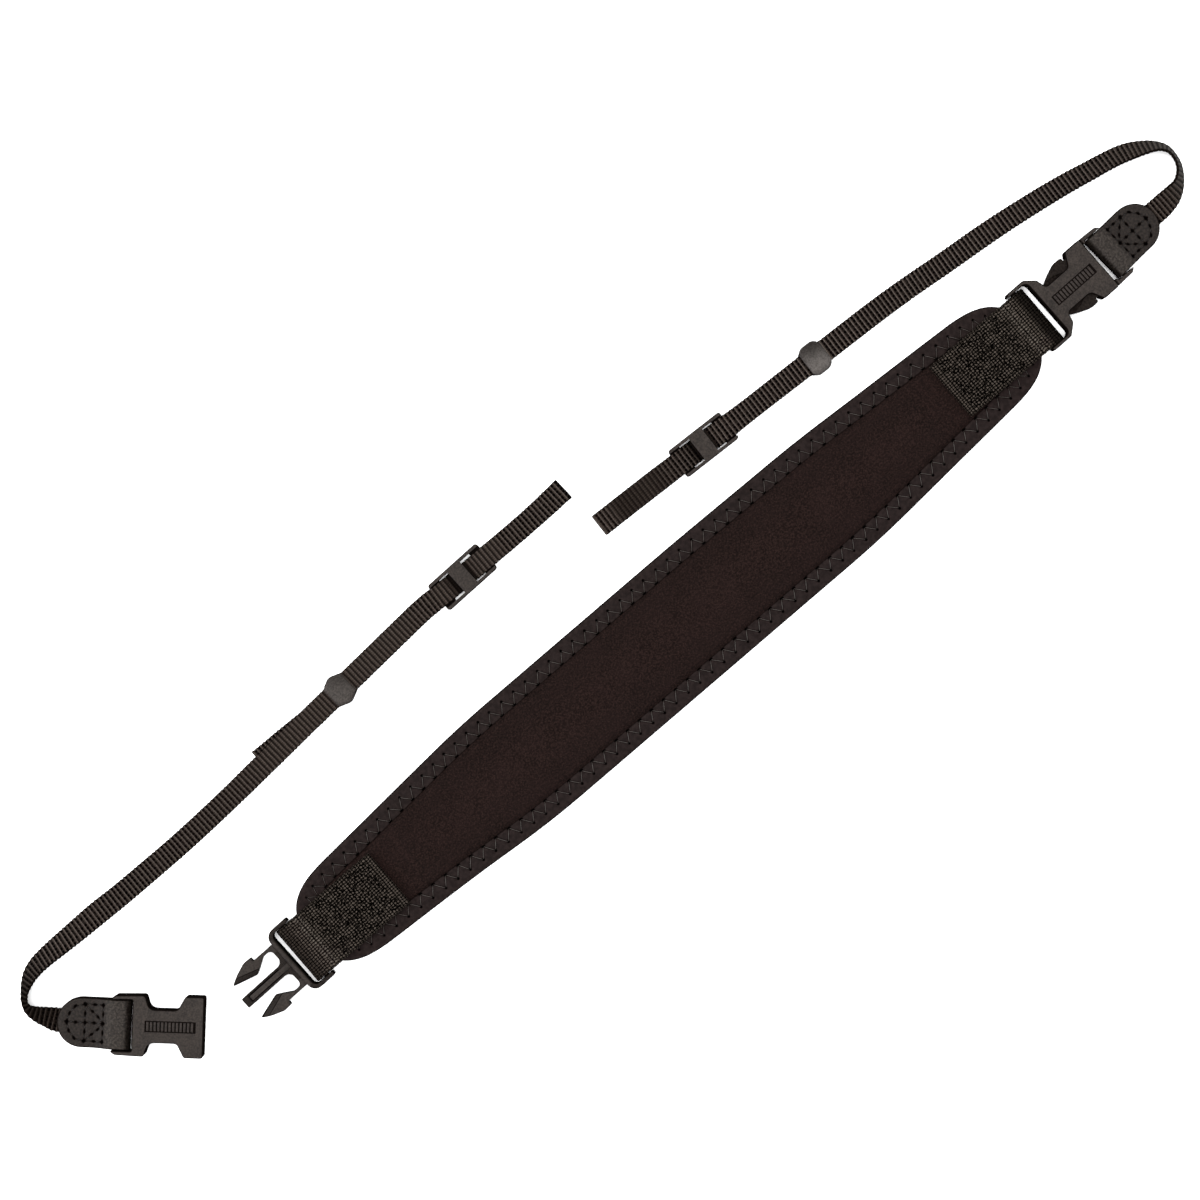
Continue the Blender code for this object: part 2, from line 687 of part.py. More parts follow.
def place_on(at, x):
    """The point at x on the axis of a buckle that lies at (x, y, turn)."""
    turn = math.radians(at[2])
    return (at[0] + x * math.cos(turn), at[1] + x * math.sin(turn))


# ---------------------------------------------------------------- buckles


def bar_tool(name, x, half_length, parent):
    """The hidden bar that a strip is folded round, lying across the buckle."""
    turn = Matrix.Translation((x, 0.0, BUCKLE_Z)) @ Matrix.Rotation(math.pi / 2, 4, "X")
    mesh = disc_mesh(name, BAR_RADIUS, -half_length, half_length, BAR_SIDES, turn)
    return add_tool(name, mesh, parent)


def make_socket(name, frame, bar_x, arm_inner, place):
    """A socket: the body with its waist, open at the mouth and at both sides of the waist, and the
    two arms that hold the bar. The frame lists the corners of the bar's end for y above 0."""
    body = [
        (0.0, MOUTH_HALF, 0.9),
        (-7.3, MOUTH_HALF, 1.2),
        (-10.1, WAIST_HALF, 2.0),
        *frame,
    ]
    piece = add_piece(name, plate_mesh(name, mirrored(body), BUCKLE_Z), PLASTIC, place)
    bar = bar_tool(name + "_bar", bar_x, arm_inner + 0.8, place)
    combine(piece, "UNION", [bar])
    hollow_low = (-HOLLOW_DEPTH, -HOLLOW_HALF, BUCKLE_Z - HOLLOW_HALF_HEIGHT)
    hollow_high = (2.0, HOLLOW_HALF, BUCKLE_Z + HOLLOW_HALF_HEIGHT)
    hollow = box_mesh(name + "_hollow", hollow_low, hollow_high)
    panel_low = (PANEL_FROM, -PANEL_HALF, BUCKLE_THICK - PANEL_DEPTH)
    panel_high = (PANEL_TO, PANEL_HALF, BUCKLE_THICK + 1.0)
    panel = box_mesh(name + "_panel", panel_low, panel_high)
    cuts = [
        add_tool(name + "_hollow", hollow, place),
        add_tool(name + "_panel", panel, place),
    ]
    combine(piece, "DIFFERENCE", cuts)


# The bar's end of each socket: the flare from the waist, an arm and the slot beside it
NARROW_SOCKET_FRAME = [
    (-20.9, WAIST_HALF, 3.0),
    (-22.6, MOUTH_HALF, 1.3),
    (-33.8, 11.4, 0.6),
    (-35.3, 10.4, 0.0),
    (-35.3, NARROW_ARM_INNER, 0.0),
    (-27.3, NARROW_ARM_INNER, 0.6),
]
WIDE_SOCKET_FRAME = [
    (-21.4, WAIST_HALF, 1.6),
    (-22.4, 10.7, 1.5),
    (-26.4, 14.1, 0.9),
    (-35.0, 14.1, 0.9),
    (-35.0, WIDE_ARM_INNER, 0.0),
    (-26.0, WIDE_ARM_INNER, 2.0),
]

PRONG = [
    (0.2, LEG_OUTER, 0.0),
    (-9.8, LEG_OUTER, 0.0),
    (-9.8, 11.85, 0.5),
    (-13.2, 12.05, 4.0),
    (-18.1, 10.2, 6.0),
    (-22.4, 8.0, 0.4),
    (-12.0, 5.1, 1.2),
    (-5.9, 8.8, 2.2),
    (-1.8, 8.8, 0.9),
    (-1.8, 7.6, 0.0),
    (0.2, 7.6, 0.0),
]
# The raised outer part of a prong, beyond the line where its bevel starts
PRONG_CREST = [
    (-0.2, LEG_OUTER - 0.1, 0.0),
    (-9.6, LEG_OUTER - 0.1, 0.0),
    (-9.65, 11.65, 0.4),
    (-13.1, 11.85, 4.0),
    (-17.8, 10.1, 6.0),
    (-20.1, 9.0, 0.2),
    (-16.0, 8.5, 2.0),
    (-10.9, 6.1, 0.3),
    (-5.9, 8.95, 2.2),
    (-0.2, 8.95, 0.0),
]
GUIDE = [
    (-22.9, 2.3, 0.3),
    (-3.6, 2.3, 2.0),
    (-1.8, 4.6, 0.0),
    (0.2, 4.6, 0.0),
]


def squeezed(corners, sign, squeeze):
    """A prong's corners on one side, moved in more and more towards its tip."""
    return [(x, sign * (y - squeeze * (0.5 - x / 22.0)), radius) for x, y, radius in corners]


def insert_tools(name, place, squeeze=0.0):
    """What enters the socket: two barbed prongs and the guide between them."""
    lower, crest = 1.4, 2.05
    tools = []
    for side, sign in (("a", 1), ("b", -1)):
        prong = squeezed(PRONG, sign, squeeze)
        ridge = squeezed(PRONG_CREST, sign, squeeze)
        prong_mesh = plate_mesh(f"{name}_prong_{side}", prong, lower, 0.25, step=36)
        ridge_mesh = plate_mesh(f"{name}_crest_{side}", ridge, crest, 0.2, step=36)
        tools.append(add_tool(f"{name}_prong_{side}", prong_mesh, place))
        tools.append(add_tool(f"{name}_crest_{side}", ridge_mesh, place))
    guide = plate_mesh(f"{name}_guide", mirrored(GUIDE), 1.2, 0.2)
    rib_low = (-20.0, -1.3, BUCKLE_Z - 1.95)
    rib_high = (0.1, 1.3, BUCKLE_Z + 1.95)
    tools.append(add_tool(f"{name}_guide", guide, place))
    tools.append(add_tool(f"{name}_rib", box_mesh(f"{name}_rib", rib_low, rib_high), place))
    return tools


def make_wide_plug(name, place):
    """A one-inch plug: a U-shaped frame with a raised ridge at its front, and the insert."""
    half, tip = 14.4, 10.5
    frame = [
        (0.0, half, 3.6),
        (tip, half, 0.6),
        (tip, WIDE_ARM_INNER, 0.0),
        (2.05, WIDE_ARM_INNER, 1.8),
    ]
    piece = add_piece(name, plate_mesh(name, mirrored(frame), BUCKLE_Z - 0.5), PLASTIC, place)
    ridge = plate_mesh(
        name + "_ridge", mirrored([(0.06, 11.6, 0.8), (1.9, 11.6, 0.4)]), BUCKLE_Z, 0.3
    )
    neck_low = (-2.0, -LEG_OUTER + 0.05, BUCKLE_Z - INSERT_HALF_HEIGHT)
    neck_high = (1.0, LEG_OUTER - 0.05, BUCKLE_Z + INSERT_HALF_HEIGHT)
    tools = [
        add_tool(name + "_ridge", ridge, place),
        bar_tool(name + "_bar", WIDE_BAR_IN_PLUG, WIDE_ARM_INNER + 0.8, place),
        add_tool(name + "_neck", box_mesh(name + "_neck", neck_low, neck_high), place),
    ]
    combine(piece, "UNION", tools + insert_tools(name, place))


def make_narrow_plug(name, place):
    """A three-quarter-inch plug: its base sits inside the socket's mouth, so only its arms show."""
    base_half = 10.2
    frame = [
        (-3.6, base_half, 0.3),
        (-0.15, base_half, 0.0),
        (-0.15, 9.0, 0.0),
    ]
    arm = [
        (GAP, 11.6, 0.0),
        (7.4, 11.3, 0.6),
        (8.8, 10.2, 0.0),
        (8.8, NARROW_ARM_INNER, 0.0),
        (1.5, NARROW_ARM_INNER, 0.0),
        (1.1, 9.0, 0.0),
        (GAP, 9.0, 0.0),
    ]
    base = plate_mesh(name, mirrored(frame), INSERT_HALF_HEIGHT, 0.2)
    piece = add_piece(name, base, PLASTIC, place)
    tools = [bar_tool(name + "_bar", NARROW_BAR_IN_PLUG, NARROW_ARM_INNER + 0.8, place)]
    for side, turned, low, high in (("a", list, 9.1, 10.1), ("b", flipped, -10.1, -9.1)):
        shape = plate_mesh(f"{name}_arm_{side}", turned(arm), BUCKLE_Z - 0.4, 0.35)
        link_low = (-1.0, low, BUCKLE_Z - 2.1)
        link_high = (0.8, high, BUCKLE_Z + 2.1)
        link = box_mesh(f"{name}_link_{side}", link_low, link_high)
        tools.append(add_tool(f"{name}_arm_{side}", shape, place))
        tools.append(add_tool(f"{name}_link_{side}", link, place))
    combine(piece, "UNION", tools + insert_tools(name, place, FASTENED_SQUEEZE))


def make_buckles():
    left_plug = add_place("plug_left_place", PLUG_LEFT_AT)
    left_socket = add_place("socket_left_place", SOCKET_LEFT_AT)
    right = add_place("buckle_right_place", BUCKLE_RIGHT_AT)
    make_wide_plug("plug_left", left_plug)
    make_socket(
        "socket_left", NARROW_SOCKET_FRAME, NARROW_BAR_IN_SOCKET, NARROW_ARM_INNER, left_socket
    )
    make_socket("socket_right", WIDE_SOCKET_FRAME, WIDE_BAR_IN_SOCKET, WIDE_ARM_INNER, right)
    make_narrow_plug("plug_right", right)


# ---------------------------------------------------------------- sliders and keepers


def make_slider(name, at):
    """A three-bar slider: low bars at the ends that the webbing passes over, and a raised middle bar
    that it passes under, between two rails."""
    place = add_place(name + "_place", at)
    half = SLIDER_THICK / 2
    block = [(SLIDER_HALF_LENGTH, SLIDER_HALF_WIDTH, 1.0), (-SLIDER_HALF_LENGTH, SLIDER_HALF_WIDTH, 1.0)]
    mesh = plate_mesh(name, mirrored(block), half, 0.3, half)
    piece = add_piece(name, mesh, PLASTIC, place)
    inner = SLIDER_RAIL_INNER
    beyond = SLIDER_HALF_LENGTH + 2.0
    above = SLIDER_THICK + 1.0
    spaces = {
        "passage": ((-beyond, -inner, SLIDER_END_TOP), (beyond, inner, SLIDER_BAR_UNDERSIDE)),
        "underside": (
            (-SLIDER_END_INNER, -inner, -1.0),
            (SLIDER_END_INNER, inner, SLIDER_END_TOP + 0.5),
        ),
        "top_a": ((SLIDER_BAR_HALF, -inner, SLIDER_BAR_UNDERSIDE - 0.5), (beyond, inner, above)),
        "top_b": ((-beyond, -inner, SLIDER_BAR_UNDERSIDE - 0.5), (-SLIDER_BAR_HALF, inner, above)),
    }
    cuts = []
    for space, (low, high) in spaces.items():
        tool_name = f"{name}_{space}"
        cuts.append(add_tool(tool_name, box_mesh(tool_name, low, high), place))
    combine(piece, "DIFFERENCE", cuts)


def make_keeper(name, at):
    """A moulded ring: a round disc cut straight across at its ends, with a flat hole along the strap."""
    place = add_place(name + "_place", at)
    piece = add_piece(name, disc_mesh(name, KEEPER_RADIUS, 0.0, KEEPER_THICK, 28), RUBBER, place)
    edge = piece.modifiers.new("rounded_rim", "BEVEL")
    edge.width = 0.7 * MM
    edge.segments = 2
    edge.limit_method = "ANGLE"
    edge.angle_limit = math.radians(50)
    far = KEEPER_RADIUS + 2.0
    spaces = {
        "end_a": ((KEEPER_HALF_LENGTH, -far, -1.0), (far, far, KEEPER_THICK + 1.0)),
        "end_b": ((-far, -far, -1.0), (-KEEPER_HALF_LENGTH, far, KEEPER_THICK + 1.0)),
        "hole": (
            (-far, -KEEPER_HOLE_HALF, KEEPER_WALL),
            (far, KEEPER_HOLE_HALF, KEEPER_THICK - KEEPER_WALL - 0.1),
        ),
    }
    cuts = []
    for space, (low, high) in spaces.items():
        tool_name = f"{name}_{space}"
        cuts.append(add_tool(tool_name, box_mesh(tool_name, low, high), place))
    combine(piece, "DIFFERENCE", cuts)


make_pad()
make_binding()
make_tabs_and_straps()
make_buckles()
make_slider("slider_left", SLIDER_LEFT_AT)
make_slider("slider_right", SLIDER_RIGHT_AT)
make_keeper("keeper_left", KEEPER_LEFT_AT)
make_keeper("keeper_right", KEEPER_RIGHT_AT)
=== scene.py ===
"""The looks of the camera neck strap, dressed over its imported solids.

Sizes are in millimetres and angles in degrees until a mesh is made. +X runs along the pad, +Y
points towards the thin straps, and the surface that the strap lies on is z = 0.
"""

import bisect
import math
import random
from collections import namedtuple
from contextlib import contextmanager
from itertools import accumulate, pairwise

import bpy
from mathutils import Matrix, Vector


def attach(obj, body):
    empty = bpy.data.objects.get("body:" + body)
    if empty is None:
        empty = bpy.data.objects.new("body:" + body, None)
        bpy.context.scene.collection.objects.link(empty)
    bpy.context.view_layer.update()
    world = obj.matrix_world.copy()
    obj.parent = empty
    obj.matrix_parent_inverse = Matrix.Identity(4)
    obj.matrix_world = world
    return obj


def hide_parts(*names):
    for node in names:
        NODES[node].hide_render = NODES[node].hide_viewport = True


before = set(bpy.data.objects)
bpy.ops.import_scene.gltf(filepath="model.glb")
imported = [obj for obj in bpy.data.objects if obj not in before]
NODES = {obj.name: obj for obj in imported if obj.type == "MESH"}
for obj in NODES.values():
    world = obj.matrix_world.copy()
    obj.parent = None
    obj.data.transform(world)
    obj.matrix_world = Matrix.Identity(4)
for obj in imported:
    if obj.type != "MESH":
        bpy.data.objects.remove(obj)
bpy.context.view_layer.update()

MM = 0.001

# ---------------------------------------------------------------- sizes, as in the part's source

PAD_HALF_WIDTH = 25.4
TAPER_FROM = 70.0
TAPER_FULL = 100.0
TAPER_SLOPE = 0.0705
CORNER_FROM = 155.0
CORNER_LENGTH = 25.6
PAD_THICK = 5.0
TAB_SEAT_FROM = 128.0
TAB_SEAT_FULL = 140.0
# Where the seam draws the pad's edge in: (middle, side, how far, half the stretch)
DRAWN_IN = ((90.0, 1, 0.85, 80.0), (-115.0, -1, 0.65, 55.0))
RIM_HEIGHT = 3.6
BINDING_THICK = 0.8
BINDING_WIDTH = 8.0
UNDER_BINDING = 2.62  # the pad's height there
PAD_RIM = 1.4  # from the pad's edge to its outermost row of points
ROWS_EVEN_TO = 150.0  # the rows keep their distance from the edge up to this x
CLOSER_INSET = 7.0  # the pad's rows of points lie closer together from here to the edge
EVEN_INSET = 13.0  # and evenly from here to the middle
ROWS_CLOSER = 0.86  # the share of a flat sheet's half width where they become closer

BUCKLE_Z = 3.7
TAB_HALF = 12.4
TAB_THICK = 1.2
TAB_LENGTH = 42.8
TAB_WRAP = 2.3
TAB_REACH = 3.3
TAB_LOWER_Z = 4.5
TAB_LEFT_BAR = (-185.0, -1.2)
TAB_RIGHT_BAR = (184.9, 0.2)
LEATHER_HALF = 9.5
LEATHER_THICK = 1.3
LEATHER_WRAP = 2.4
LEATHER_LOWER_Z = 0.65
LEATHER_UPPER_Z = 3.7
# The bar's x and y, its turn, the length to the tip, and how far the fold reaches beyond the bar
LEATHER_LEFT = (-256.855, 23.06, 136.7, 24.6, 3.3)
LEATHER_RIGHT = (222.2, 0.871, 3.4, 24.0, 2.75)

STRAP_HALF = 4.6
STRAP_THICK = 1.1
LAYER_STEP = 1.4  # between the middles of a strap's two layers
# How high the upper layer's underside lies
IN_LEATHER = 1.625
ON_KEEPER = 2.6
ON_SLIDER_END = 2.9
UNDER_SLIDER_BAR = 1.4

# Each thin strap's upper layer, from inside the leather to its folded end: where its middle is,
# how far the edge inside the bend is tipped up, how high its lower edge lies, half its width
Route = namedtuple("Route", "x y roll lift half")
LEFT_ROUTE = [
    Route(-263.0, 28.6, 0, IN_LEATHER, 4.6),
    Route(-268.2, 33.7, 0, IN_LEATHER, 4.6),
    Route(-272.3, 37.75, 0, IN_LEATHER, 4.6),
    Route(-274.8, 40.4, 2, 1.45, 4.6),
    Route(-277.0, 43.7, 26, 0.3, 4.6),
    Route(-279.1, 47.2, 44, 0, 4.6),
    Route(-280.1, 50.8, 59, 0, 4.6),
    Route(-279.4, 53.5, 67, 0, 4.6),
    Route(-277.5, 55.9, 67, 0, 4.6),
    Route(-275.1, 57.9, 60, 0, 4.6),
    Route(-271.4, 60.0, 50, 0, 4.6),
    Route(-267.4, 61.1, 43, 0, 4.6),
    Route(-262.5, 61.5, 38, 0, 4.6),
    Route(-255.7, 61.5, 30, 0, 4.6),
    Route(-247.8, 61.4, 21, 0, 4.6),
    Route(-237.8, 61.35, 10, 0, 4.6),
    Route(-225.8, 60.95, 3, 0, 4.45),
    Route(-212.0, 60.85, 0, 0, 4.4),
    Route(-195.0, 60.9, 0, 0, 4.35),
    Route(-180.0, 61.4, 0, 0, 4.35),
    Route(-168.0, 62.0, 0, 0.1, 4.35),
    Route(-159.0, 62.55, 0, 1.0, 4.4),
    Route(-154.5, 62.85, 0, 1.42, 4.4),
    Route(-148.0, 63.25, 0, 1.5, 4.4),
    Route(-138.0, 63.95, 0, 2.1, 4.45),
    Route(-128.0, 64.65, 0, ON_KEEPER, 4.45),
    Route(-124.0, 64.91, 0, ON_KEEPER, 4.45),
    Route(-109.9, 65.8, 0, ON_KEEPER, 4.45),
    Route(-90.0, 67.06, 0, ON_KEEPER, 4.45),
    Route(-72.0, 68.2, 0, ON_KEEPER, 4.45),
    Route(-69.0, 68.38, 0, ON_KEEPER, 4.45),
    Route(-64.5, 68.5, 0, 2.75, 4.45),
    Route(-60.0, 68.38, 0, ON_SLIDER_END, 4.4),
    Route(-56.8, 68.2, 0, ON_SLIDER_END, 4.35),
    Route(-50.2, 68.12, 0, UNDER_SLIDER_BAR, 4.35),
    Route(-42.0, 68.02, 0, UNDER_SLIDER_BAR, 4.3),
    Route(-35.4, 67.95, 0, ON_SLIDER_END, 4.3),
    Route(-32.2, 67.93, 0, ON_SLIDER_END, 4.3),
    Route(-24.0, 67.88, 0, 2.0, 4.3),
    Route(-14.0, 67.93, 0, 1.5, 4.3),
    Route(-5.0, 68.15, 0, UNDER_SLIDER_BAR, 4.4),
    Route(4.45, 68.58, 0, UNDER_SLIDER_BAR, 4.55),
]
RIGHT_ROUTE = [
    Route(231.0, 1.2, 0, IN_LEATHER, 4.6),
    Route(237.0, 1.4, 0, IN_LEATHER, 4.6),
    Route(243.2, 1.4, 0, IN_LEATHER, 4.6),
    Route(247.0, 1.35, 2, 1.4, 4.6),
    Route(251.6, 1.5, 13, 0.4, 4.6),
    Route(256.2, 2.1, 34, 0, 4.6),
    Route(260.1, 3.5, 55, 0, 4.6),
    Route(262.7, 5.6, 64, 0, 4.6),
    Route(265.1, 8.9, 68, 0, 4.6),
    Route(266.2, 13.2, 69, 0, 4.6),
    Route(265.8, 17.1, 66, 0, 4.6),
    Route(264.2, 19.6, 63, 0, 4.6),
    Route(262.1, 21.5, 57, 0, 4.6),
    Route(259.1, 23.35, 50, 0, 4.6),
    Route(256.1, 24.9, 43, 0, 4.6),
    Route(251.9, 26.6, 38, 0, 4.6),
    Route(246.0, 28.25, 37, 0, 4.6),
    Route(238.0, 29.95, 34, 0, 4.6),
    Route(229.0, 31.9, 31, 0, 4.6),
    Route(219.5, 33.6, 28, 0, 4.6),
    Route(209.6, 35.15, 25, 0, 4.55),
    Route(199.7, 36.55, 19, 0, 4.45),
    Route(189.8, 37.7, 13, 0, 4.4),
    Route(179.8, 38.65, 8, 0, 4.35),
    Route(169.8, 39.65, 4, 0.2, 4.35),
    Route(162.0, 40.5, 1, 1.0, 4.35),
    Route(156.5, 41.05, 0, 1.42, 4.35),
    Route(150.0, 41.65, 0, 1.5, 4.35),
    Route(140.0, 42.35, 0, 2.1, 4.4),
    Route(130.5, 42.86, 0, ON_KEEPER, 4.4),
    Route(126.5, 43.05, 0, ON_KEEPER, 4.4),
    Route(111.6, 43.77, 0, ON_KEEPER, 4.35),
    Route(96.0, 44.52, 0, ON_KEEPER, 4.3),
    Route(83.0, 45.14, 0, ON_KEEPER, 4.25),
    Route(80.0, 45.29, 0, ON_KEEPER, 4.25),
    Route(75.6, 45.5, 0, 2.75, 4.3),
    Route(71.2, 45.72, 0, ON_SLIDER_END, 4.4),
    Route(68.0, 45.9, 0, ON_SLIDER_END, 4.45),
    Route(61.5, 46.31, 0, UNDER_SLIDER_BAR, 4.5),
    Route(53.3, 46.69, 0, UNDER_SLIDER_BAR, 4.5),
    Route(46.8, 46.99, 0, ON_SLIDER_END, 4.5),
    Route(43.6, 47.13, 0, ON_SLIDER_END, 4.5),
    Route(35.0, 47.6, 0, 2.0, 4.6),
    Route(25.0, 48.1, 0, 1.5, 4.6),
    Route(15.0, 48.55, 0, UNDER_SLIDER_BAR, 4.6),
    Route(7.75, 48.85, 0, UNDER_SLIDER_BAR, 4.6),
]
ROUTE_STEP = 0.8  # between the rows of a smooth route
# The end of each lower layer, and how far the left one lies beside the upper layer
LEFT_TAIL_END = -151.6
RIGHT_TAIL_END = 155.0
LEFT_TAIL_OFFSETS = ((-153.0, 2.5), (-148.0, 2.1), (-140.0, 1.4), (-130.0, 0.4), (-126.0, 0.0))

# How far each thin strap's ribs stand apart, by x
LEFT_OPEN = (
    (-300, 0.7),
    (-279.5, 0.7),
    (-272, 0.85),
    (-262, 0.9),
    (-230, 0.6),
    (-170, 0.45),
    (-130, 0.25),
    (-85, 0.25),
    (-62, 0.5),
    (-57, 0.3),
    (-36, 0.3),
    (-30, 0.25),
    (-24, 0.6),
    (10, 0.75),
)
RIGHT_OPEN = (
    (5, 0.5),
    (13, 0.45),
    (16, 0.12),
    (28, 0.15),
    (38, 0.45),
    (60, 0.7),
    (100, 1.0),
    (190, 0.95),
    (240, 0.7),
    (256, 0.4),
    (270, 0.3),
)
# Where each thin strap lies out of the light: (x at the deepest, x where it ends, amount)
LEFT_SHADES = ((-284.0, -256.0, 0.75), (-49.0, -54.5, 0.95), (-42.9, -40.6, 0.95))
RIGHT_SHADES = (
    (18.0, 11.0, 0.5),
    (18.0, 60.0, 0.5),
    (34.0, 22.0, 0.46),
    (34.0, 46.0, 0.46),
    (54.2, 48.8, 0.95),
    (60.3, 62.7, 0.95),
)

# Sewing and weave
STITCH_PITCH = 6.0
OUTER_HOLES = 3.5  # how far from the pad's edge
INNER_HOLES = 7.55
RIB_PITCH = 1.8
WARP_PITCH = 1.5
NUB_LENGTH = 1.22
NUB_WIDTH = 1.06
TAB_SEAMS = (5.2, 7.1)  # rows of stitches across a tab, from where it turns round the bar
SEAM_STITCH = 1.3
ROW_AT = 0.38  # where in a rib's pitch the dark row between two ribs lies
YARN_WIDTH = 0.9


# ---------------------------------------------------------------- camera, light and floor


def add_camera():
    """Straight above, at the photograph's turn."""
    turn = math.radians(-40.6)
    bpy.ops.object.camera_add(location=(-0.01166, 0.02704, 1.09), rotation=(0, 0, turn))
    camera = bpy.context.object
    camera.data.lens = 85
    camera.data.sensor_width = 36
    bpy.context.scene.camera = camera


def add_softbox(name, place, size, power):
    """A rectangular light that is aimed at the middle of the strap."""
    bpy.ops.object.light_add(type="AREA", location=place)
    box = bpy.context.object
    box.name = name
    box.data.shape = "RECTANGLE"
    box.data.size, box.data.size_y = size
    box.data.energy = power
    box.rotation_euler = (Vector((0, 0, 0)) - Vector(place)).to_track_quat("-Z", "Y").to_euler()
    return box


def set_stage():
    """A plain white studio: even light from all round, two softboxes, and white paper below."""
    world = bpy.data.worlds.new("studio")
    world.use_nodes = True
    backdrop = world.node_tree.nodes["Background"]
    backdrop.inputs["Color"].default_value = (1, 1, 1, 1)
    backdrop.inputs["Strength"].default_value = 1.06
    bpy.context.scene.world = world
    bpy.context.scene.view_settings.view_transform = "Standard"
    over = add_softbox("softbox_over", (0.0, 0.15, 1.9), (2.0, 1.5), 80)
    over.visible_glossy = False
    add_softbox("softbox_side", (-3.2, 2.7, 3.0), (2.2, 2.2), 125)
    bpy.ops.mesh.primitive_plane_add(size=8, location=(0, 0, -0.0001))
    floor = bpy.context.object
    floor.name = "floor"
    paper = bpy.data.materials.new("white_paper")
    paper.use_nodes = True
    shader = paper.node_tree.nodes["Principled BSDF"]
    shader.inputs["Base Color"].default_value = (0.96, 0.96, 0.96, 1)
    shader.inputs["Roughness"].default_value = 0.9
    shader.inputs["Specular IOR Level"].default_value = 0.1
    floor.data.materials.append(paper)
    floor.visible_glossy = False


# ---------------------------------------------------------------- finishes


class Value:
    """A number that varies over a surface: a socket of a finish's node tree. Sums on it add Math
    nodes."""

    def __init__(self, tree, socket):
        self.tree, self.socket = tree, socket

    def calc(self, operation, first, second=0.0):
        node = put(self.tree, "Math", operation=operation)
        feed(node, i0=first, i1=second, i2=0.0)
        return Value(self.tree, node.outputs[0])

    def __add__(self, other):
        return self.calc("ADD", self, other)

    def __sub__(self, other):
        return self.calc("SUBTRACT", self, other)

    def __rsub__(self, other):
        return self.calc("SUBTRACT", other, self)

    def __mul__(self, other):
        return self.calc("MULTIPLY", self, other)

    def __truediv__(self, other):
        return self.calc("DIVIDE", self, other)

    def __abs__(self):
        return self.calc("ABSOLUTE", self)

    def fract(self):
        return self.calc("FRACT", self)

    def sine(self):
        return self.calc("SINE", self)

    def over(self, other):
        """The larger of other and this."""
        return self.calc("MAXIMUM", other, self)

    def ramp(self, low, high, to_low=0.0, to_high=1.0):
        """An S-shaped step from to_low to to_high as this goes from low to high."""
        node = put(self.tree, "MapRange", interpolation_type="SMOOTHSTEP")
        feed(node, i0=self, i1=low, i2=high, i3=to_low, i4=to_high)
        return Value(self.tree, node.outputs[0])

    def blend(self, first, second):
        """The first colour where this is 0, and the second where it is 1."""
        node = put(self.tree, "Mix", data_type="RGBA")
        feed(node, i0=self, i6=first, i7=second)
        return Value(self.tree, node.outputs[2])


def put(tree, kind, **settings):
    node = tree.nodes.new("ShaderNode" + kind)
    for key, value in settings.items():
        setattr(node, key, value)
    return node


def feed(node, **sockets):
    """Sets a node's inputs, by name or as i and the number, and links those given as a Value."""
    for key, value in sockets.items():
        numbered = key[0] == "i" and key[1:].isdigit()
        socket = node.inputs[int(key[1:]) if numbered else key.replace("_", " ")]
        if isinstance(value, Value):
            value.tree.links.new(value.socket, socket)
        else:
            socket.default_value = value


def colour(red, green, blue):
    return (red, green, blue, 1.0)


NO_LIGHT = colour(0.0004, 0.0003, 0.0003)
PLASTIC_SHINE = 0.24


class Finish:
    """A material with a shader, and the patterns that its colour and relief are made from."""

    def __init__(self, name, roughness, specular):
        self.material = bpy.data.materials.new(name)
        self.material.use_nodes = True
        self.tree = self.material.node_tree
        self.shader = self.tree.nodes["Principled BSDF"]
        feed(self.shader, Roughness=roughness, Specular_IOR_Level=specular)

    def own_place(self):
        """Coordinates in metres, fixed to the piece."""
        return Value(self.tree, put(self.tree, "TexCoord").outputs["Object"])

    def flat_place(self):
        """A strip's own coordinates: how far along it and across it, in millimetres."""
        cut = Value(self.tree, put(self.tree, "UVMap", uv_map="cut").outputs[0])
        return cut, *self.parts(cut)[:2]

    def parts(self, place):
        node = put(self.tree, "SeparateXYZ")
        feed(node, i0=place)
        return [Value(self.tree, socket) for socket in node.outputs]

    def painted(self, name):
        node = put(self.tree, "Attribute", attribute_name=name)
        return Value(self.tree, node.outputs["Fac"])

    def grain(self, place, size, detail=2.0, roughness=0.5):
        """Noise whose grains are about size across, in the unit of place."""
        node = put(self.tree, "TexNoise")
        feed(node, Vector=place, Scale=1.0 / size, Detail=detail, Roughness=roughness)
        return Value(self.tree, node.outputs[0])

    def cells(self, place, size, randomness, feature="F1"):
        """Cells about size across, in the unit of place: how far each point is from its cell's
        middle, or from its edge."""
        node = put(self.tree, "TexVoronoi", feature=feature)
        feed(node, Vector=place, Scale=1.0 / size, Randomness=randomness)
        return Value(self.tree, node.outputs["Distance"])

    def sink_into_dark(self, dark, base, specular):
        """Gives the shader its colour, and takes both colour and shine away where dark is 1."""
        shine = dark.ramp(0.0, 0.7, specular, 0.0)
        feed(self.shader, Base_Color=dark.blend(base, NO_LIGHT), Specular_IOR_Level=shine)

    def raise_surface(self, height, distance):
        node = put(self.tree, "Bump")
        feed(node, Height=height, Distance=distance * MM, Strength=1.0)
        feed(self.shader, Normal=Value(self.tree, node.outputs[0]))


